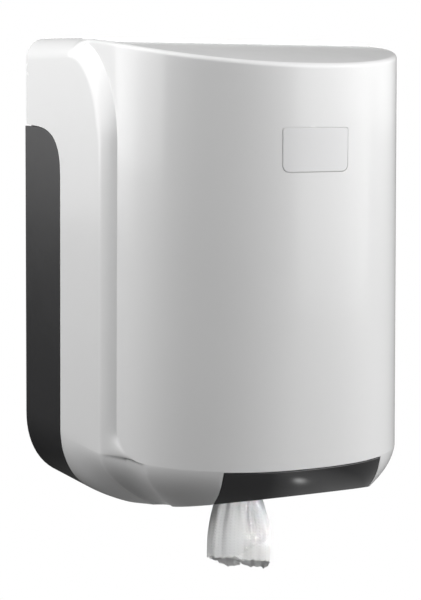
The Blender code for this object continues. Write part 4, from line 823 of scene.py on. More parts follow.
def roll_mesh():
    """The wound roll: a closed profile turned once round, whose radius falls by a sheet's thickness over the
    turn, which leaves the step of the outer sheet's end, with soft unevenness from winding."""
    turn = np.linspace(0, np.pi / 2, 7)
    outer_r = ROLL_RADIUS - ROLL_EDGE + ROLL_EDGE * np.sin(turn)
    top_z = ROLL_HIGH - ROLL_EDGE + ROLL_EDGE * np.cos(turn)
    low_z = ROLL_LOW + ROLL_EDGE - ROLL_EDGE * np.cos(turn)
    rise = np.linspace(ROLL_LOW + ROLL_EDGE, ROLL_HIGH - ROLL_EDGE, 40)[1:-1]
    hole_edge = ROLL_HOLE_RADIUS + ROLL_HOLE_EDGE
    ring = np.linspace(hole_edge, ROLL_RADIUS - ROLL_EDGE, 24)[1:-1]
    hole = [hole_edge, ROLL_HOLE_RADIUS, ROLL_HOLE_RADIUS, hole_edge]
    hole_z = [ROLL_LOW, ROLL_LOW + ROLL_HOLE_EDGE, ROLL_HIGH - ROLL_HOLE_EDGE, ROLL_HIGH]
    radii = np.concatenate([outer_r, ROLL_RADIUS + 0 * rise, outer_r[::-1], ring[::-1], hole, ring])[:, None]
    heights = np.concatenate([top_z, rise[::-1], low_z[::-1], ROLL_LOW + 0 * ring, hole_z,
                              ROLL_HIGH + 0 * ring])[:, None]
    angle = np.linspace(0, 2 * np.pi, 193)
    outer_share = np.clip((radii - ROLL_RADIUS + ROLL_UNEVEN_BAND) / ROLL_UNEVEN_BAND, 0, 1)
    ripple = 0.00025 * np.sin(5 * angle + 30 * heights) + 0.00018 * np.sin(11 * angle - 18 * heights)
    fall = -SHEET_STEP * angle / (2 * np.pi) - SHEET_STEP
    radius = radii + outer_share * (fall + ripple)
    grid = place(radius * np.cos(angle), ROLL_DEPTH + radius * np.sin(angle), heights)
    lift = 0.0004 * np.sin(grid[..., 0] * 160) * np.cos(grid[..., 1] * 140)
    on_top = (heights > ROLL_HIGH - ON_LEVEL) & (outer_share < 0.99)
    grid[..., 2] += np.where(on_top, lift * 0.5, 0)
    loop = np.concatenate([grid, grid[:1]])
    return mesh_from("wound_roll", [grid_patch(loop), ribbon(loop[:, 0], loop[:, -1])])


def towel_ends(x, turn, second):
    """Heights of the towel's lower end: higher in front and lower behind, both falling to the right, while
    the front of the sheet's second, inner turn rises to the right, towards its free edge. Front and rear are
    joined by a smooth step, and the outer turn has a slight ripple."""
    front, rear, inner_front = (np.interp(x, *zip(*line)) for line in (FRONT_END, REAR_END, INNER_FRONT_END))
    share = smooth(np.clip(0.5 + 1.4 * np.sin(turn), 0, 1))
    outer = rear + (front - rear) * share + 0.0004 * np.sin(23 * turn) + 0.0005 * np.sin(9 * turn + 1.0)
    inner = rear + TOWEL_INNER_LIFT + (inner_front - rear - TOWEL_INNER_LIFT) * share
    return np.where(second, inner, outer)


def towel_shape(turn, across, z):
    """Points of the gathered sheet: a spiral round the nozzle's axis, pressed in at soft valleys. Its radius
    is the neck's above, then opens as a quarter sine into a flat bell. The valleys at the front right lean at
    the neck."""
    open_share = np.clip((TOWEL_OPENING_START - z) / TOWEL_OPENING_HEIGHT, 0, 1)
    spread = np.sin(open_share * np.pi / 2) ** 1.05
    fold = 1.0 + 0 * z
    for middle, width, neck, low in VALLEYS:
        lean = 0.0 if middle > LEANING_VALLEYS_BELOW else -math.radians(TOWEL_NECK_LEAN) * (1 - spread)
        away = np.degrees(np.angle(np.exp(1j * (turn - math.radians(middle) + lean))))
        fold = fold - (neck + (low - neck) * spread) * np.exp(-(away / width) ** 2)
    crumple = 0.004 * np.sin(9 * turn + 60 * z) * np.sin(70 * z + 2.0) * spread
    radius = fold * (1.0 - TOWEL_SPIRAL * across) + crumple
    wide = TOWEL_NECK + (TOWEL_HALF_WIDTH - TOWEL_NECK) * spread
    deep = TOWEL_NECK + (TOWEL_HALF_DEPTH - TOWEL_NECK) * spread
    x = wide * radius * np.cos(turn) + TOWEL_SHIFT * spread
    return place(x, ROLL_DEPTH + deep * radius * np.sin(turn), z)


def sheet_run(points, axis):
    """The mean length run along one axis of a grid of points, from zero."""
    step = np.linalg.norm(np.diff(points, axis=axis), axis=2).mean(axis=1 - axis)
    return np.concatenate([[0], np.cumsum(step)])


def towel_mesh():
    """The gathered towel as one sheet of one and three quarter turns. It carries the sheet's own width and
    length as UV, and, for each point, whether the inner turn lies behind it: a share of painted shade that
    darkens the outer turn's front there, while the rear and the inner turn take none."""
    across = np.linspace(0, 1, 361)
    down = np.linspace(0, 1, 125)[:, None]
    turn = np.radians(TOWEL_START_TURN - TOWEL_TURNS * across)
    flat_x = TOWEL_END_HALF * np.cos(turn)
    blend = smooth(np.clip((across - 0.535) / 0.07, 0, 1))
    end = towel_ends(flat_x, turn, False) * (1 - blend) + towel_ends(flat_x, turn, True) * blend
    z = TOWEL_TOP + (end - TOWEL_TOP) * down
    points = towel_shape(turn, across, z)
    mesh = bpy.data.meshes.new("gathered_towel")
    flat_points, quads = grid_patch(points)
    mesh.from_pydata(flat_points.tolist(), [], quads.tolist())
    uv = np.stack(np.broadcast_arrays(sheet_run(points, 1)[None, :], sheet_run(points, 0)[:, None]), axis=-1)
    corner = np.empty(len(mesh.loops), dtype=int)
    mesh.loops.foreach_get("vertex_index", corner)
    mesh.uv_layers.new(name="sheet").data.foreach_set("uv", uv.reshape(-1, 2)[corner].ravel())
    behind = np.clip((z - towel_ends(points[..., 0], turn, True)) / 0.0008 + 0.5, 0, 1)
    second = across > 360.0 / TOWEL_TURNS
    # Painted shade: the outer turn's front is darker where the inner turn lies behind it; the rear and the
    # inner turn stay light.
    backing_shade = np.where(second | (np.sin(turn) < 0), 0.0, behind)
    mesh.attributes.new("backing_shade", "FLOAT", "POINT").data.foreach_set("value", backing_shade.ravel())
    return mesh


# Small parts

def screw_mesh(name, x, z, seat):
    """A pan-head screw seen from the front: a dome over the head's radius with a cross sunk in it, and a
    plain pointed shank behind. The seat is the depth that the head stands on."""
    share = np.concatenate([np.linspace(0, 0.9, 14), np.sin(np.linspace(1.12, np.pi / 2, 6))])[:, None]
    angle = np.linspace(0, 2 * np.pi, 49)
    dome = SCREW_RISE * np.sqrt(np.clip(1 - (0.86 * share) ** 2.6, 0, 1)) * 0.62 + SCREW_RISE * 0.38
    dome = np.where(share > 0.999, SCREW_RISE * 0.30, dome)
    u, v = share * np.cos(angle), share * np.sin(angle)
    near, far = np.minimum(np.abs(u), np.abs(v)), np.maximum(np.abs(u), np.abs(v))
    cross = (near < CROSS_ARM) & (far < CROSS_REACH)
    face = place(x + SCREW_HEAD * u, seat + (dome - CROSS_DEPTH * cross), z + SCREW_HEAD * v)
    rings = [(SCREW_HEAD, 0.0), (SCREW_SHANK, 0.0), (SCREW_SHANK, -SCREW_LENGTH + 0.0008),
             (0.0004, -SCREW_LENGTH), (0.0, -SCREW_LENGTH)]
    back = [place(x + r * np.cos(angle), seat + offset, z + r * np.sin(angle)) for r, offset in rings]
    return mesh_from(name, [grid_patch(face), grid_patch(np.stack([face[-1], *back]))])


def pin_mesh(name, side):
    """A hinge pin: a cylinder along X with bevelled ends."""
    inner, outer = HINGE_SPREAD / 2 - PIN_INWARD, HINGE_SPREAD / 2 + PIN_OUTWARD
    along = np.array([inner, inner, inner + PIN_BEVEL, outer - PIN_BEVEL, outer, outer])
    end = PIN_RADIUS - PIN_BEVEL
    radii = np.array([0.0, end, PIN_RADIUS, PIN_RADIUS, end, 0.0])[:, None]
    angle = np.linspace(0, 2 * np.pi, 33)
    depth, z = HINGE_DEPTH + radii * np.cos(angle), HINGE_Z + radii * np.sin(angle)
    return mesh_from(name, [grid_patch(place(side * along[:, None], depth, z))])


# Materials

def node_group(name, inputs, outputs):
    """An empty shader group with its named sockets. Gives the group and its end nodes."""
    group = bpy.data.node_groups.new(name, "ShaderNodeTree")
    for label, kind, value in inputs:
        socket = group.interface.new_socket(name=label, in_out="INPUT", socket_type="NodeSocket" + kind)
        socket.default_value = value
    for label, kind in outputs:
        group.interface.new_socket(name=label, in_out="OUTPUT", socket_type="NodeSocket" + kind)
    return group, group.nodes.new("NodeGroupInput"), group.nodes.new("NodeGroupOutput")


def add(tree, kind, link=(), settings=(), **values):
    """A node with its settings, its unlinked values and its links, given by socket name or number."""
    node = tree.nodes.new("ShaderNode" + kind)
    for label, value in dict(settings).items():
        setattr(node, label, value)
    for label, value in values.items():
        node.inputs[label.replace("_", " ")].default_value = value
    for label, source in dict(link).items():
        tree.links.new(source, node.inputs[label])
    return node


def lead(tree, node, **sources):
    """Links from sources to a node's inputs, named with underscores for spaces."""
    for label, source in sources.items():
        tree.links.new(source, node.inputs[label.replace("_", " ")])


def maths(tree, operation, first, second=None, third=None, clamp=False):
    """One Math node. Numbers are set, sockets are linked."""
    node = tree.nodes.new("ShaderNodeMath")
    node.operation = operation
    node.use_clamp = clamp
    for socket, value in zip(node.inputs, (first, second, third)):
        if value is None:
            continue
        if isinstance(value, (int, float)):
            socket.default_value = value
        else:
            tree.links.new(value, socket)
    return node.outputs[0]


def times(tree, first, second):
    """The first value times the second."""
    return maths(tree, "MULTIPLY", first, second)


def plus(tree, first, second):
    """The first value plus the second."""
    return maths(tree, "ADD", first, second)


def less(tree, first, second):
    """The first value less the second."""
    return maths(tree, "SUBTRACT", first, second)


def over(tree, value, start, gain):
    """How far a value is over a start, times a gain, held between 0 and 1."""
    return maths(tree, "MULTIPLY", less(tree, value, start), gain, clamp=True)


def swayed(tree, pattern, amount, centre):
    """A centre with a pattern's sway about it: the pattern less a half, times the amount."""
    return maths(tree, "MULTIPLY_ADD", less(tree, pattern, 0.5), amount, centre)


def ranged(tree, value, from_low, from_high, to_low, to_high):
    """One Map Range node, held at its ends."""
    node = add(tree, "MapRange", {"Value": value})
    numbers = {"From Min": from_low, "From Max": from_high, "To Min": to_low, "To Max": to_high}
    for label, number in numbers.items():
        node.inputs[label].default_value = number
    return node.outputs["Result"]


def noise(tree, coordinate, scale, detail=3.0, rough=0.5):
    """A noise pattern on a coordinate. The scale is a number or a socket."""
    node = add(tree, "TexNoise", {"Vector": coordinate}, Detail=detail, Roughness=rough)
    if isinstance(scale, (int, float)):
        node.inputs["Scale"].default_value = scale
    else:
        tree.links.new(scale, node.inputs["Scale"])
    return node.outputs["Fac"]


def mixed(tree, share, first, second):
    """A colour mix. Sockets are linked, colours are set."""
    node = tree.nodes.new("ShaderNodeMix")
    node.data_type = "RGBA"
    tree.links.new(share, node.inputs["Factor"])
    for label, value in (("A", first), ("B", second)):
        socket = next(s for s in node.inputs if s.name == label and s.type == "RGBA")
        if isinstance(value, tuple):
            socket.default_value = value
        else:
            tree.links.new(value, socket)
    return next(s for s in node.outputs if s.type == "RGBA")


def toned_end(group, start, end, tone):
    """The group's own colour times a tone, led to the group's end."""
    colour = add(group, "VectorMath", {0: start.outputs["Colour"]}, {"operation": "SCALE"})
    lead(group, colour, Scale=tone)
    lead(group, end, Colour=colour.outputs[0])


def moulded_surface_group():
    """Moulded plastic: fine grain, slow sink unevenness, smudges of gloss and a slight change of tone."""
    group, start, end = node_group("moulded surface", [
        ("Colour", "Color", (0.8, 0.8, 0.8, 1)), ("Tone Change", "Float", 0.04),
        ("Grain Scale", "Float", 900.0), ("Grain Height", "Float", 0.05), ("Wave Height", "Float", 0.3),
        ("Gloss", "Float", 0.25), ("Gloss Change", "Float", 0.08)],
        [("Colour", "Color"), ("Roughness", "Float"), ("Height", "Float")])
    place_on = add(group, "TexCoord").outputs["Object"]
    slow = noise(group, place_on, 11.0, 2.0)
    toned_end(group, start, end, swayed(group, slow, start.outputs["Tone Change"], 1.0))
    smudge = noise(group, place_on, 38.0, 6.0, 0.62)
    grain = noise(group, place_on, start.outputs["Grain Scale"], 2.0)
    grain = times(group, grain, start.outputs["Grain Height"])
    wave = times(group, noise(group, place_on, 24.0, 1.0), start.outputs["Wave Height"])
    lead(group, end, Height=plus(group, grain, wave),
         Roughness=swayed(group, smudge, start.outputs["Gloss Change"], start.outputs["Gloss"]))
    return group


def edge_wear_group():
    """Handling wear: lighter, duller edges where the surface turns sharply, broken up by a fine pattern."""
    group, start, end = node_group("edge wear", [
        ("Colour", "Color", (0.5, 0.5, 0.5, 1)), ("Worn Colour", "Color", (0.7, 0.7, 0.7, 1)),
        ("Amount", "Float", 0.4), ("Roughness", "Float", 0.4), ("Worn Roughness", "Float", 0.5)],
        [("Colour", "Color"), ("Roughness", "Float")])
    place_on = add(group, "TexCoord").outputs["Object"]
    edge = over(group, add(group, "NewGeometry").outputs["Pointiness"], 0.515, 14.0)
    broken = over(group, noise(group, place_on, 160.0, 5.0), 0.42, 4.0)
    worn = times(group, times(group, edge, broken), start.outputs["Amount"])
    spread = less(group, start.outputs["Worn Roughness"], start.outputs["Roughness"])
    lead(group, end, Colour=mixed(group, worn, start.outputs["Colour"], start.outputs["Worn Colour"]),
         Roughness=maths(group, "MULTIPLY_ADD", worn, spread, start.outputs["Roughness"]))
    return group


def dust_group():
    """Settled dust and paper lint on upward faces: a soft film and small specks."""
    group, start, end = node_group("settled dust", [
        ("Colour", "Color", (0.5, 0.5, 0.5, 1)), ("Dust Colour", "Color", (0.55, 0.54, 0.52, 1)),
        ("Amount", "Float", 0.2), ("Roughness", "Float", 0.4)], [("Colour", "Color"), ("Roughness", "Float")])
    coordinate = add(group, "TexCoord")
    upward = add(group, "SeparateXYZ", {0: coordinate.outputs["Normal"]}).outputs["Z"]
    upward = over(group, upward, 0.35, 1.8)
    film = noise(group, coordinate.outputs["Object"], 30.0, 6.0, 0.6)
    specks = over(group, noise(group, coordinate.outputs["Object"], 520.0, 2.0), 0.66, 9.0)
    film = plus(group, times(group, film, 0.7), times(group, specks, 0.5))
    share = maths(group, "MULTIPLY", times(group, film, upward), start.outputs["Amount"], clamp=True)
    lead(group, end, Colour=mixed(group, share, start.outputs["Colour"], start.outputs["Dust Colour"]),
         Roughness=maths(group, "MULTIPLY_ADD", share, 0.5, start.outputs["Roughness"]))
    return group


def drawn_metal_group():
    """Drawn or cast metal: fine lines along one direction over a pitted ground."""
    group, start, end = node_group("drawn metal", [
        ("Colour", "Color", (0.6, 0.6, 0.6, 1)), ("Line Scale", "Vector", (60.0, 900.0, 900.0)),
        ("Line Height", "Float", 0.3), ("Pit Height", "Float", 0.3), ("Gloss", "Float", 0.3),
        ("Gloss Change", "Float", 0.15)], [("Colour", "Color"), ("Roughness", "Float"), ("Height", "Float")])
    place_on = add(group, "TexCoord").outputs["Object"]
    stretched = add(group, "VectorMath", {0: place_on, 1: start.outputs["Line Scale"]},
                    {"operation": "MULTIPLY"})
    lines = noise(group, stretched.outputs[0], 1.0, 3.0)
    pits = noise(group, place_on, 1400.0, 2.0)
    stain = noise(group, place_on, 120.0, 4.0)
    toned_end(group, start, end, swayed(group, stain, 0.25, 1.0))
    line_height = times(group, lines, start.outputs["Line Height"])
    lead(group, end, Roughness=swayed(group, lines, start.outputs["Gloss Change"], start.outputs["Gloss"]),
         Height=plus(group, line_height, times(group, pits, start.outputs["Pit Height"])))
    return group


def tissue_group():
    """Embossed tissue: rows of soft dots on a given coordinate in metres, crossed by fine fibres and a
    creping ripple across the sheet. The Shade input darkens the colour in the dots' hollows: painted shade."""
    group, start, end = node_group("tissue sheet", [
        ("Vector", "Vector", (0.0, 0.0, 0.0)), ("Colour", "Color", (0.9, 0.9, 0.9, 1)),
        ("Dot Spacing", "Float", 0.003), ("Dot Height", "Float", 1.0), ("Fibre Height", "Float", 0.4),
        ("Shade", "Float", 0.05)], [("Colour", "Color"), ("Roughness", "Float"), ("Height", "Float")])
    step = maths(group, "DIVIDE", 2 * math.pi, start.outputs["Dot Spacing"])
    axes = add(group, "SeparateXYZ", {0: start.outputs["Vector"]})
    diagonals = [joined(group, axes.outputs["X"], axes.outputs["Y"]) for joined in (plus, less)]
    first, second = (maths(group, "COSINE", times(group, diagonal, times(group, step, 0.7071)))
                     for diagonal in diagonals)
    dots = over(group, times(group, first, second), 0.25, 1.6)
    fibre = noise(group, start.outputs["Vector"], 1900.0, 4.0, 0.65)
    crepe = add(group, "TexWave", {"Vector": start.outputs["Vector"]}, {"bands_direction": "Y"}, Scale=260.0,
                Distortion=6.0, Detail=2.0).outputs["Fac"]
    blotch = noise(group, start.outputs["Vector"], 55.0, 4.0)
    # Painted shade: the colour is darker in the dots' hollows, by the Shade share.
    tone = less(group, 1.0, times(group, dots, start.outputs["Shade"]))
    toned_end(group, start, end, plus(group, tone, times(group, less(group, blotch, 0.5), 0.06)))
    height = times(group, dots, times(group, start.outputs["Dot Height"], -1.0))
    height = plus(group, height, times(group, fibre, start.outputs["Fibre Height"]))
    crepe_height = times(group, crepe, times(group, start.outputs["Fibre Height"], 0.4))
    lead(group, end, Height=plus(group, height, crepe_height),
         Roughness=maths(group, "MULTIPLY_ADD", fibre, 0.12, 0.84))
    return group


MOULDED = moulded_surface_group()
WEAR = edge_wear_group()
DUST = dust_group()
METAL = drawn_metal_group()
TISSUE = tissue_group()


def grouped(tree, group, link=(), **values):
    """A group placed in a material with its own values and links."""
    node = tree.nodes.new("ShaderNodeGroup")
    node.node_tree = group
    for label, value in values.items():
        node.inputs[label.replace("_", " ")].default_value = value
    for label, source in dict(link).items():
        tree.links.new(source, node.inputs[label])
    return node


def look_of(node):
    """A group's colour and roughness, as links for what comes next."""
    return {label: node.outputs[label] for label in ("Colour", "Roughness")}


def blank_material(name, **uniform):
    """A material with its own shader, whose uniform values sit on the shader's sockets."""
    material = bpy.data.materials.new(name)
    material.use_nodes = True
    shader = material.node_tree.nodes["Principled BSDF"]
    for label, value in uniform.items():
        shader.inputs[label.replace("_", " ")].default_value = value
    return material, material.node_tree, shader


def finish_surface(tree, shader, look, height, strength, distance):
    """Colour, roughness, and bump from a height pattern, led to the shader."""
    lead(tree, shader, Base_Color=look["Colour"], Roughness=look["Roughness"])
    bump = add(tree, "Bump", {"Height": height}, Strength=strength, Distance=distance)
    lead(tree, shader, Normal=bump.outputs["Normal"])


def moulded_plastic(name, colour, worn, gloss, gloss_change, grain, wave, wear, dust, relief, **uniform):
    """Moulded plastic from the shared surface, wear and dust groups."""
    material, tree, shader = blank_material(name, **uniform)
    base = grouped(tree, MOULDED, Colour=(*colour, 1), Gloss=gloss, Gloss_Change=gloss_change,
                   Grain_Height=grain, Wave_Height=wave)
    edge = grouped(tree, WEAR, look_of(base), Worn_Colour=(*worn, 1), Amount=wear, Worn_Roughness=gloss + 0.2)
    film = grouped(tree, DUST, look_of(edge), Amount=dust)
    finish_surface(tree, shader, look_of(film), base.outputs["Height"], relief, 0.0002)
    return material


def plated_metal(name, colour, line_scale, line_height, pit_height, gloss, wear):
    """Metal from the shared drawn-metal and wear groups."""
    material, tree, shader = blank_material(name, Metallic=1.0)
    base = grouped(tree, METAL, Colour=(*colour, 1), Line_Scale=line_scale, Line_Height=line_height,
                   Pit_Height=pit_height, Gloss=gloss)
    edge = grouped(tree, WEAR, look_of(base), Worn_Colour=(0.78, 0.78, 0.78, 1), Amount=wear,
                   Worn_Roughness=gloss - 0.05)
    finish_surface(tree, shader, look_of(edge), base.outputs["Height"], 0.35, 0.0001)
    return material


def towel_paper():
    """Tissue on the sheet's own UV in metres, a little light passing through it, and painted shade: a darker
    paper where the sheet's inner turn lies behind.
    """
    material, tree, shader = blank_material(
        "towel tissue", Specular_IOR_Level=0.2, Sheen_Weight=0.15, Sheen_Roughness=0.6,
        Subsurface_Weight=0.15, Subsurface_Scale=0.002, Subsurface_Radius=(1.0, 1.0, 1.0))
    sheet_place = add(tree, "UVMap", settings={"uv_map": "sheet"}).outputs["UV"]
    backing_shade = add(tree, "Attribute", settings={"attribute_name": "backing_shade"}).outputs["Fac"]
    # Painted shade: darker paper where the inner turn lies behind the sheet.
    paper = mixed(tree, backing_shade, (0.96, 0.96, 0.96, 1), (0.82, 0.82, 0.82, 1))
    base = grouped(tree, TISSUE, {"Vector": sheet_place, "Colour": paper}, Dot_Spacing=TISSUE_DOT_SPACING,
                   Dot_Height=0.8, Fibre_Height=0.5, Shade=0.03)
    finish_surface(tree, shader, look_of(base), base.outputs["Height"], 0.5, 0.00015)
    return material


def roll_paper():
    """The wound roll: tissue round its side, on the run round it and its height, and fine rings of wound
    sheet edges on its ends, told apart by the surface's own direction."""
    material, tree, shader = blank_material("wound tissue", Specular_IOR_Level=0.2, Sheen_Weight=0.15,
                                            Sheen_Roughness=0.6)
    coordinate = add(tree, "TexCoord")
    centred = add(tree, "Mapping", {"Vector": coordinate.outputs["Object"]}, {"vector_type": "POINT"})
    centred.inputs["Location"].default_value = (0.0, ROLL_DEPTH, 0.0)
    axes = add(tree, "SeparateXYZ", {0: centred.outputs[0]})
    x, y = axes.outputs["X"], axes.outputs["Y"]
    turn = maths(tree, "ARCTAN2", y, x)
    run = add(tree, "CombineXYZ", {"X": times(tree, turn, ROLL_RADIUS), "Y": axes.outputs["Z"]})
    base = grouped(tree, TISSUE, {"Vector": run.outputs[0]}, Colour=(0.86, 0.86, 0.85, 1),
                   Dot_Spacing=TISSUE_DOT_SPACING, Dot_Height=1.0, Fibre_Height=0.5, Shade=0.06)
    out = maths(tree, "SQRT", plus(tree, times(tree, x, x), times(tree, y, y)))
    slow = noise(tree, coordinate.outputs["Object"], 40.0, 3.0)
    out = maths(tree, "MULTIPLY_ADD", slow, 0.0012, out)
    layers = maths(tree, "SINE", times(tree, out, 2 * math.pi / WOUND_RING_SPACING))
    normal = add(tree, "SeparateXYZ", {0: coordinate.outputs["Normal"]}).outputs["Z"]
    on_end = over(tree, maths(tree, "ABSOLUTE", normal), 0.6, 4.0)
    shade = times(tree, on_end, maths(tree, "MULTIPLY_ADD", layers, 0.09, 0.11))
    colour = mixed(tree, shade, base.outputs["Colour"], (0.30, 0.30, 0.29, 1))
    side_height = times(tree, base.outputs["Height"], less(tree, 1.0, on_end))
    height = maths(tree, "MULTIPLY_ADD", times(tree, layers, on_end), 0.8, side_height)
    finish_surface(tree, shader, {**look_of(base), "Colour": colour}, height, 0.6, 0.0002)
    return material


white_plastic = moulded_plastic(
    "glossy white plastic", (0.80, 0.80, 0.80), worn=(0.88, 0.88, 0.88), gloss=0.24, gloss_change=0.06,
    grain=0.02, wave=0.25, wear=0.25, dust=0.05, relief=0.10, Coat_Weight=0.25, Coat_Roughness=0.08,
    Specular_IOR_Level=0.5)
charcoal_plastic = moulded_plastic(
    "satin charcoal plastic", (0.030, 0.030, 0.031), worn=(0.11, 0.11, 0.11), gloss=0.36, gloss_change=0.10,
    grain=0.5, wave=0.5, wear=0.06, dust=0.06, relief=0.35)
lip_plastic = moulded_plastic(
    "glossy charcoal plastic", (0.018, 0.018, 0.019), worn=(0.10, 0.10, 0.10), gloss=0.12, gloss_change=0.05,
    grain=0.04, wave=0.4, wear=0.4, dust=0.04, relief=0.15, Coat_Weight=0.3, Coat_Roughness=0.05)
grey_plastic = moulded_plastic(
    "satin grey plastic", (0.30, 0.30, 0.305), worn=(0.42, 0.42, 0.42), gloss=0.42, gloss_change=0.10,
    grain=0.5, wave=0.5, wear=0.06, dust=0.25, relief=0.3)
plate_plastic = moulded_plastic(
    "pale grey plate", (0.78, 0.78, 0.785), worn=(0.84, 0.84, 0.84), gloss=0.30, gloss_change=0.06,
    grain=0.2, wave=0.3, wear=0.2, dust=0.05, relief=0.12)
plated_steel = plated_metal("plated steel", (0.62, 0.62, 0.62), line_scale=(300.0, 300.0, 900.0),
                            line_height=0.4, pit_height=0.2, gloss=0.27, wear=0.5)
cast_zinc = plated_metal("zinc casting", (0.52, 0.52, 0.53), line_scale=(400.0, 400.0, 400.0),
                         line_height=0.2, pit_height=0.6, gloss=0.36, wear=0.6)
towel_tissue = towel_paper()
wound_tissue = roll_paper()


# Pieces

def crease_line(x, depth, z):
    """True on the crease between the band and the barrel, above the skirt's rounded corner."""
    crease = SIDE_FLAT_DEPTH + BAND_DEPTH
    upright = np.abs(depth - crease) < ON_LINE
    on_barrel = np.abs(x - barrel_point(0.0, crease, z, 0.0)[0]) < ON_LINE
    return upright & on_barrel & (z > SKIRT + 0.7 * SKIRT_CORNER_HEIGHT) & (z < CORNER_Z + 1e-4)


def skirt_line(x, depth, z):
    """True on the barrel's lower edge, from just past the skirt's rounded corner across the front."""
    return (np.abs(z - SKIRT) < ON_LEVEL) & (x < CRISP_REACH) & (np.abs(depth - barrel_depth(x, z)) < ON_LINE)


def corner_line(x, depth, z):
    """True where the crease rounds into the barrel's lower edge, which is moulded soft."""
    on_edge = (np.abs(z - SKIRT) < ON_LEVEL) | (np.abs(depth - crease_depth(z)) < ON_LINE)
    return on_edge & (x > CRISP_REACH) & (z > SKIRT - ON_LEVEL) & (z < SKIRT + 0.75 * SKIRT_CORNER_HEIGHT)


cover = new_piece("white_cover", cover_mesh(), white_plastic, "cover", "cover_shell", angle=27.0)
crisp_lines(cover.data, [crease_line, skirt_line], corner_line)
soften_edges(cover, 0.0004, angle=62.0)
new_piece("plate_face", blank_plate_mesh(), plate_plastic, "cover", "blank_plate")
lip = new_piece("lip_face", lip_mesh(), lip_plastic, "casing", "front_lip")
soften_edges(lip, 0.0005)

dressed_copy("dark_housing", "back_housing", charcoal_plastic, "casing", 0.0004)
dressed_copy("floor_pan", "underside_pan", charcoal_plastic, "casing", 0.0003)
dressed_copy("tray_shelf", "roll_tray", grey_plastic, "casing", 0.0003)
for label in ("lower", "upper"):
    dressed_copy("guide_shelf_" + label, "roll_guide_" + label, grey_plastic, "casing", 0.0003)
for label, side in (("left", -1), ("right", 1)):
    dressed_copy("bracket_" + label, "hinge_bracket_" + label, grey_plastic, "casing", 0.0003)
    new_piece("pin_" + label, pin_mesh("pin_" + label, side), plated_steel, "casing", "hinge_pin_" + label)
dressed_copy("swivel_funnel", "nozzle", charcoal_plastic, "nozzle", 0.0003)
dressed_copy("funnel_ring", "nozzle_ring", grey_plastic, "nozzle", 0.0003)
dressed_copy("lock_barrel", "lock_body", cast_zinc, "casing", 0.0002)
dressed_copy("hex_nut", "lock_nut", cast_zinc, "casing", 0.0003)
dressed_copy("key_plug", "lock_plug", plated_steel, "lock", 0.0002)
dressed_copy("cam_arm", "lock_cam", cast_zinc, "lock", 0.0003)
dressed_copy("cam_fastener", "cam_screw", plated_steel, "lock", 0.0003)

for node in sorted(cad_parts):
    if "screw" in node and node != "cam_screw":
        low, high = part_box(node)
        x, z = (low[0] + high[0]) / 2, (low[2] + high[2]) / 2
        mesh = screw_mesh(node + "_head", x, z, -low[1] - SCREW_RISE)
        new_piece(node + "_pan_head", mesh, plated_steel, "casing", node, angle=40.0)

new_piece("wound_paper", roll_mesh(), wound_tissue, "roll", "paper_roll", angle=50.0)
towel = new_piece("hanging_towel", towel_mesh(), towel_tissue, "towel", "towel_tail", angle=180.0)
paper = towel.modifiers.new("paper thickness", "SOLIDIFY")
paper.thickness = TOWEL_THICKNESS
paper.offset = 0.0


# Camera, light and floor

# The camera fitted to the photograph: place, focal length in millimetres, and how far it looks down and turns
CAMERA_PLACE = (-0.60372, -1.31842, 0.13229)
CAMERA_LENS = 103.407
CAMERA_DIP = 6.692
CAMERA_TURN = 26.358
OBJECT_MIDDLE = (0.0, -0.15, 0.0)

# Softboxes: name, place, aim, width, height, power in watts and beam in degrees
SOFTBOXES = [
    ("rear_left_softbox", (-1.05, 0.45, 0.62), OBJECT_MIDDLE, 1.5, 1.3, 12.3, 180.0),
    ("left_softbox", (-1.0, -0.05, 0.75), OBJECT_MIDDLE, 1.5, 1.3, 8.9, 180.0),
    ("far_left_softbox", (-0.75, 0.75, 0.35), OBJECT_MIDDLE, 0.8, 0.8, 1.2, 180.0),
    ("upper_left_softbox", (-0.55, -0.15, 1.10), OBJECT_MIDDLE, 0.8, 0.8, 1.8, 180.0),
    ("rear_softbox", (0.6, 1.3, 0.0), (0.0, 0.0, 0.0), 0.8, 0.8, 8.0, 180.0),
    ("right_softbox", (0.95, -1.15, 0.50), OBJECT_MIDDLE, 1.5, 1.5, 9.9, 180.0),
    ("front_right_softbox", (0.5, -1.3, 0.95), OBJECT_MIDDLE, 1.5, 1.5, 6.1, 180.0),
    ("towel_softbox", (-0.09, -1.0, -0.26), (-0.003, -0.15, -0.192), 0.14, 0.06, 0.0140, 5.0),
]

STUDIO_GLOWS = [(45, 5, 2.55, 5), (90, 5, 1.6, 12), (180, 8, 0.6, 12)]

# Floor: half its side, its height, and what it gives back to diffuse rays
FLOOR_REACH = 30.0
FLOOR_Z = -0.320
FLOOR_BOUNCE = 0.02

# The floor's painted reflection: its image in gloss, an emission that only glossy rays see. Each range as two
# places and the brightness there: the sheet across, what is taken off it farther right, and its fade away
# from its middle. Then the painted glint spot in it: (x, depth), sizes, brightness.
SHEET_RISE = (0.0, 0.08, 0.28, 0.78)
SHEET_FALL = (0.14, 0.26, 0.0, -0.5)
SHEET_MIDDLE = (0.08, -0.38, -0.32)
SHEET_FADE = (0.45, 0.75, 1.0, 0.0)
GLINT_SPOT_PLACE = (0.09, 0.40)
GLINT_SPOT_SIZE = (0.014, 0.032)
GLINT_SPOT_GLOW = 4.6


def photo_camera():
    """The camera fitted to the photograph, which looks from the front left and a little above."""
    data = bpy.data.cameras.new("photo_camera")
    data.lens = CAMERA_LENS
    data.sensor_width = 36.0
    data.clip_start = 0.05
    data.clip_end = 100.0
    camera = new_object("photo_camera", data)
    camera.location = CAMERA_PLACE
    camera.rotation_euler = (math.radians(90.0 - CAMERA_DIP), 0.0, math.radians(-CAMERA_TURN))
    bpy.context.scene.camera = camera


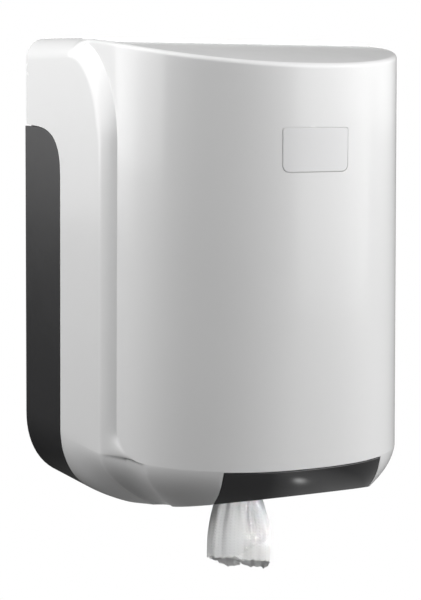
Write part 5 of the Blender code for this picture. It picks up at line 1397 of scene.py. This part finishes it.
def softbox(name, spot, target, width, height, power, beam):
    """A soft rectangular light aimed at a point, its beam narrowed to an angle in degrees."""
    data = bpy.data.lights.new(name, "AREA")
    data.shape = "RECTANGLE"
    data.size, data.size_y, data.energy = width, height, power
    data.spread = math.radians(beam)
    light = new_object(name, data)
    light.location = spot
    light.rotation_euler = (Vector(target) - Vector(spot)).to_track_quat("-Z", "Y").to_euler()
    light.visible_camera = False


def floor_surface():
    """A floor that the camera sees as an even white from above and looks through from below. Diffuse rays
    meet it as nearly black. Its image in gloss is a painted reflection, an emission that only glossy rays
    see:
    a sheet under the front, brightest a little to the right, with one small painted glint spot, no lamp: the
    exponential of less the square of the distance from it, in spot sizes."""
    material, tree, shader = blank_material("pale studio floor", Roughness=0.9,
                                            Base_Color=(FLOOR_BOUNCE, FLOOR_BOUNCE, FLOOR_BOUNCE, 1))
    geometry = add(tree, "NewGeometry")
    position = geometry.outputs["Position"]
    spot = add(tree, "SeparateXYZ", {0: position})
    across = spot.outputs["X"]
    sheet = plus(tree, ranged(tree, across, *SHEET_RISE), ranged(tree, across, *SHEET_FALL))
    away = add(tree, "VectorMath", {0: position}, {"operation": "DISTANCE"})
    away.inputs[1].default_value = SHEET_MIDDLE
    sheet = times(tree, sheet, ranged(tree, away.outputs["Value"], *SHEET_FADE))
    # Painted glint spot, glowing for glossy rays only
    sideways = times(tree, less(tree, across, GLINT_SPOT_PLACE[0]), 1 / GLINT_SPOT_SIZE[0])
    outwards = times(tree, plus(tree, spot.outputs["Y"], GLINT_SPOT_PLACE[1]), 1 / GLINT_SPOT_SIZE[1])
    spread = plus(tree, times(tree, sideways, sideways), times(tree, outwards, outwards))
    painted_glint = times(tree, maths(tree, "EXPONENT", times(tree, spread, -1.0)), GLINT_SPOT_GLOW)
    painted_reflection = add(tree, "Emission", {"Strength": plus(tree, sheet, painted_glint)})
    path = add(tree, "LightPath")
    glossy, seen = path.outputs["Is Glossy Ray"], path.outputs["Is Camera Ray"]
    other = add(tree, "MixShader", {0: glossy, 1: shader.outputs[0], 2: painted_reflection.outputs[0]})
    white = add(tree, "Emission", Strength=1.0)
    upper = add(tree, "MixShader", {0: seen, 1: other.outputs[0], 2: white.outputs[0]})
    under = geometry.outputs["Backfacing"]
    clear = add(tree, "BsdfTransparent")
    choose = add(tree, "MixShader", {0: under, 1: upper.outputs[0], 2: clear.outputs[0]})
    tree.links.new(choose.outputs[0], tree.nodes["Material Output"].inputs["Surface"])
    return material


def studio_floor():
    """One large square under the object, seen from one side only."""
    mesh = bpy.data.meshes.new("studio_floor")
    corners = [(x * FLOOR_REACH, y * FLOOR_REACH, FLOOR_Z) for x, y in ((-1, -1), (1, -1), (1, 1), (-1, 1))]
    mesh.from_pydata(corners, [], [(0, 1, 2, 3)])
    mesh.materials.append(floor_surface())
    return new_object("studio_floor", mesh)


def studio_world():
    """A world that the camera sees white, and that lights the object by the sum of the soft glows. Each is
    its strength times the exponential of its tightness times the cosine from its middle less one."""
    world = bpy.data.worlds.new("white studio")
    bpy.context.scene.world = world
    world.use_nodes = True
    tree = world.node_tree
    direction = add(tree, "TexCoord").outputs["Generated"]
    total = None
    for azimuth, elevation, strength, tightness in STUDIO_GLOWS:
        turn, rise = math.radians(azimuth), math.radians(elevation)
        middle = (math.sin(turn) * math.cos(rise), -math.cos(turn) * math.cos(rise), math.sin(rise))
        dot = add(tree, "VectorMath", {0: direction}, {"operation": "DOT_PRODUCT"})
        dot.inputs[1].default_value = middle
        fall = maths(tree, "MULTIPLY_ADD", dot.outputs["Value"], tightness, -tightness)
        glow = times(tree, maths(tree, "EXPONENT", fall), strength)
        total = glow if total is None else plus(tree, total, glow)
    seen = add(tree, "LightPath").outputs["Is Camera Ray"]
    background = tree.nodes["Background"]
    background.inputs["Color"].default_value = (1.0, 1.0, 1.0, 1)
    lead(tree, background, Strength=plus(tree, times(tree, total, less(tree, 1.0, seen)), seen))


photo_camera()
for box in SOFTBOXES:
    softbox(*box)
studio_floor()
studio_world()
bpy.context.scene.view_settings.view_transform = "Standard"

bpy.context.view_layer.update()
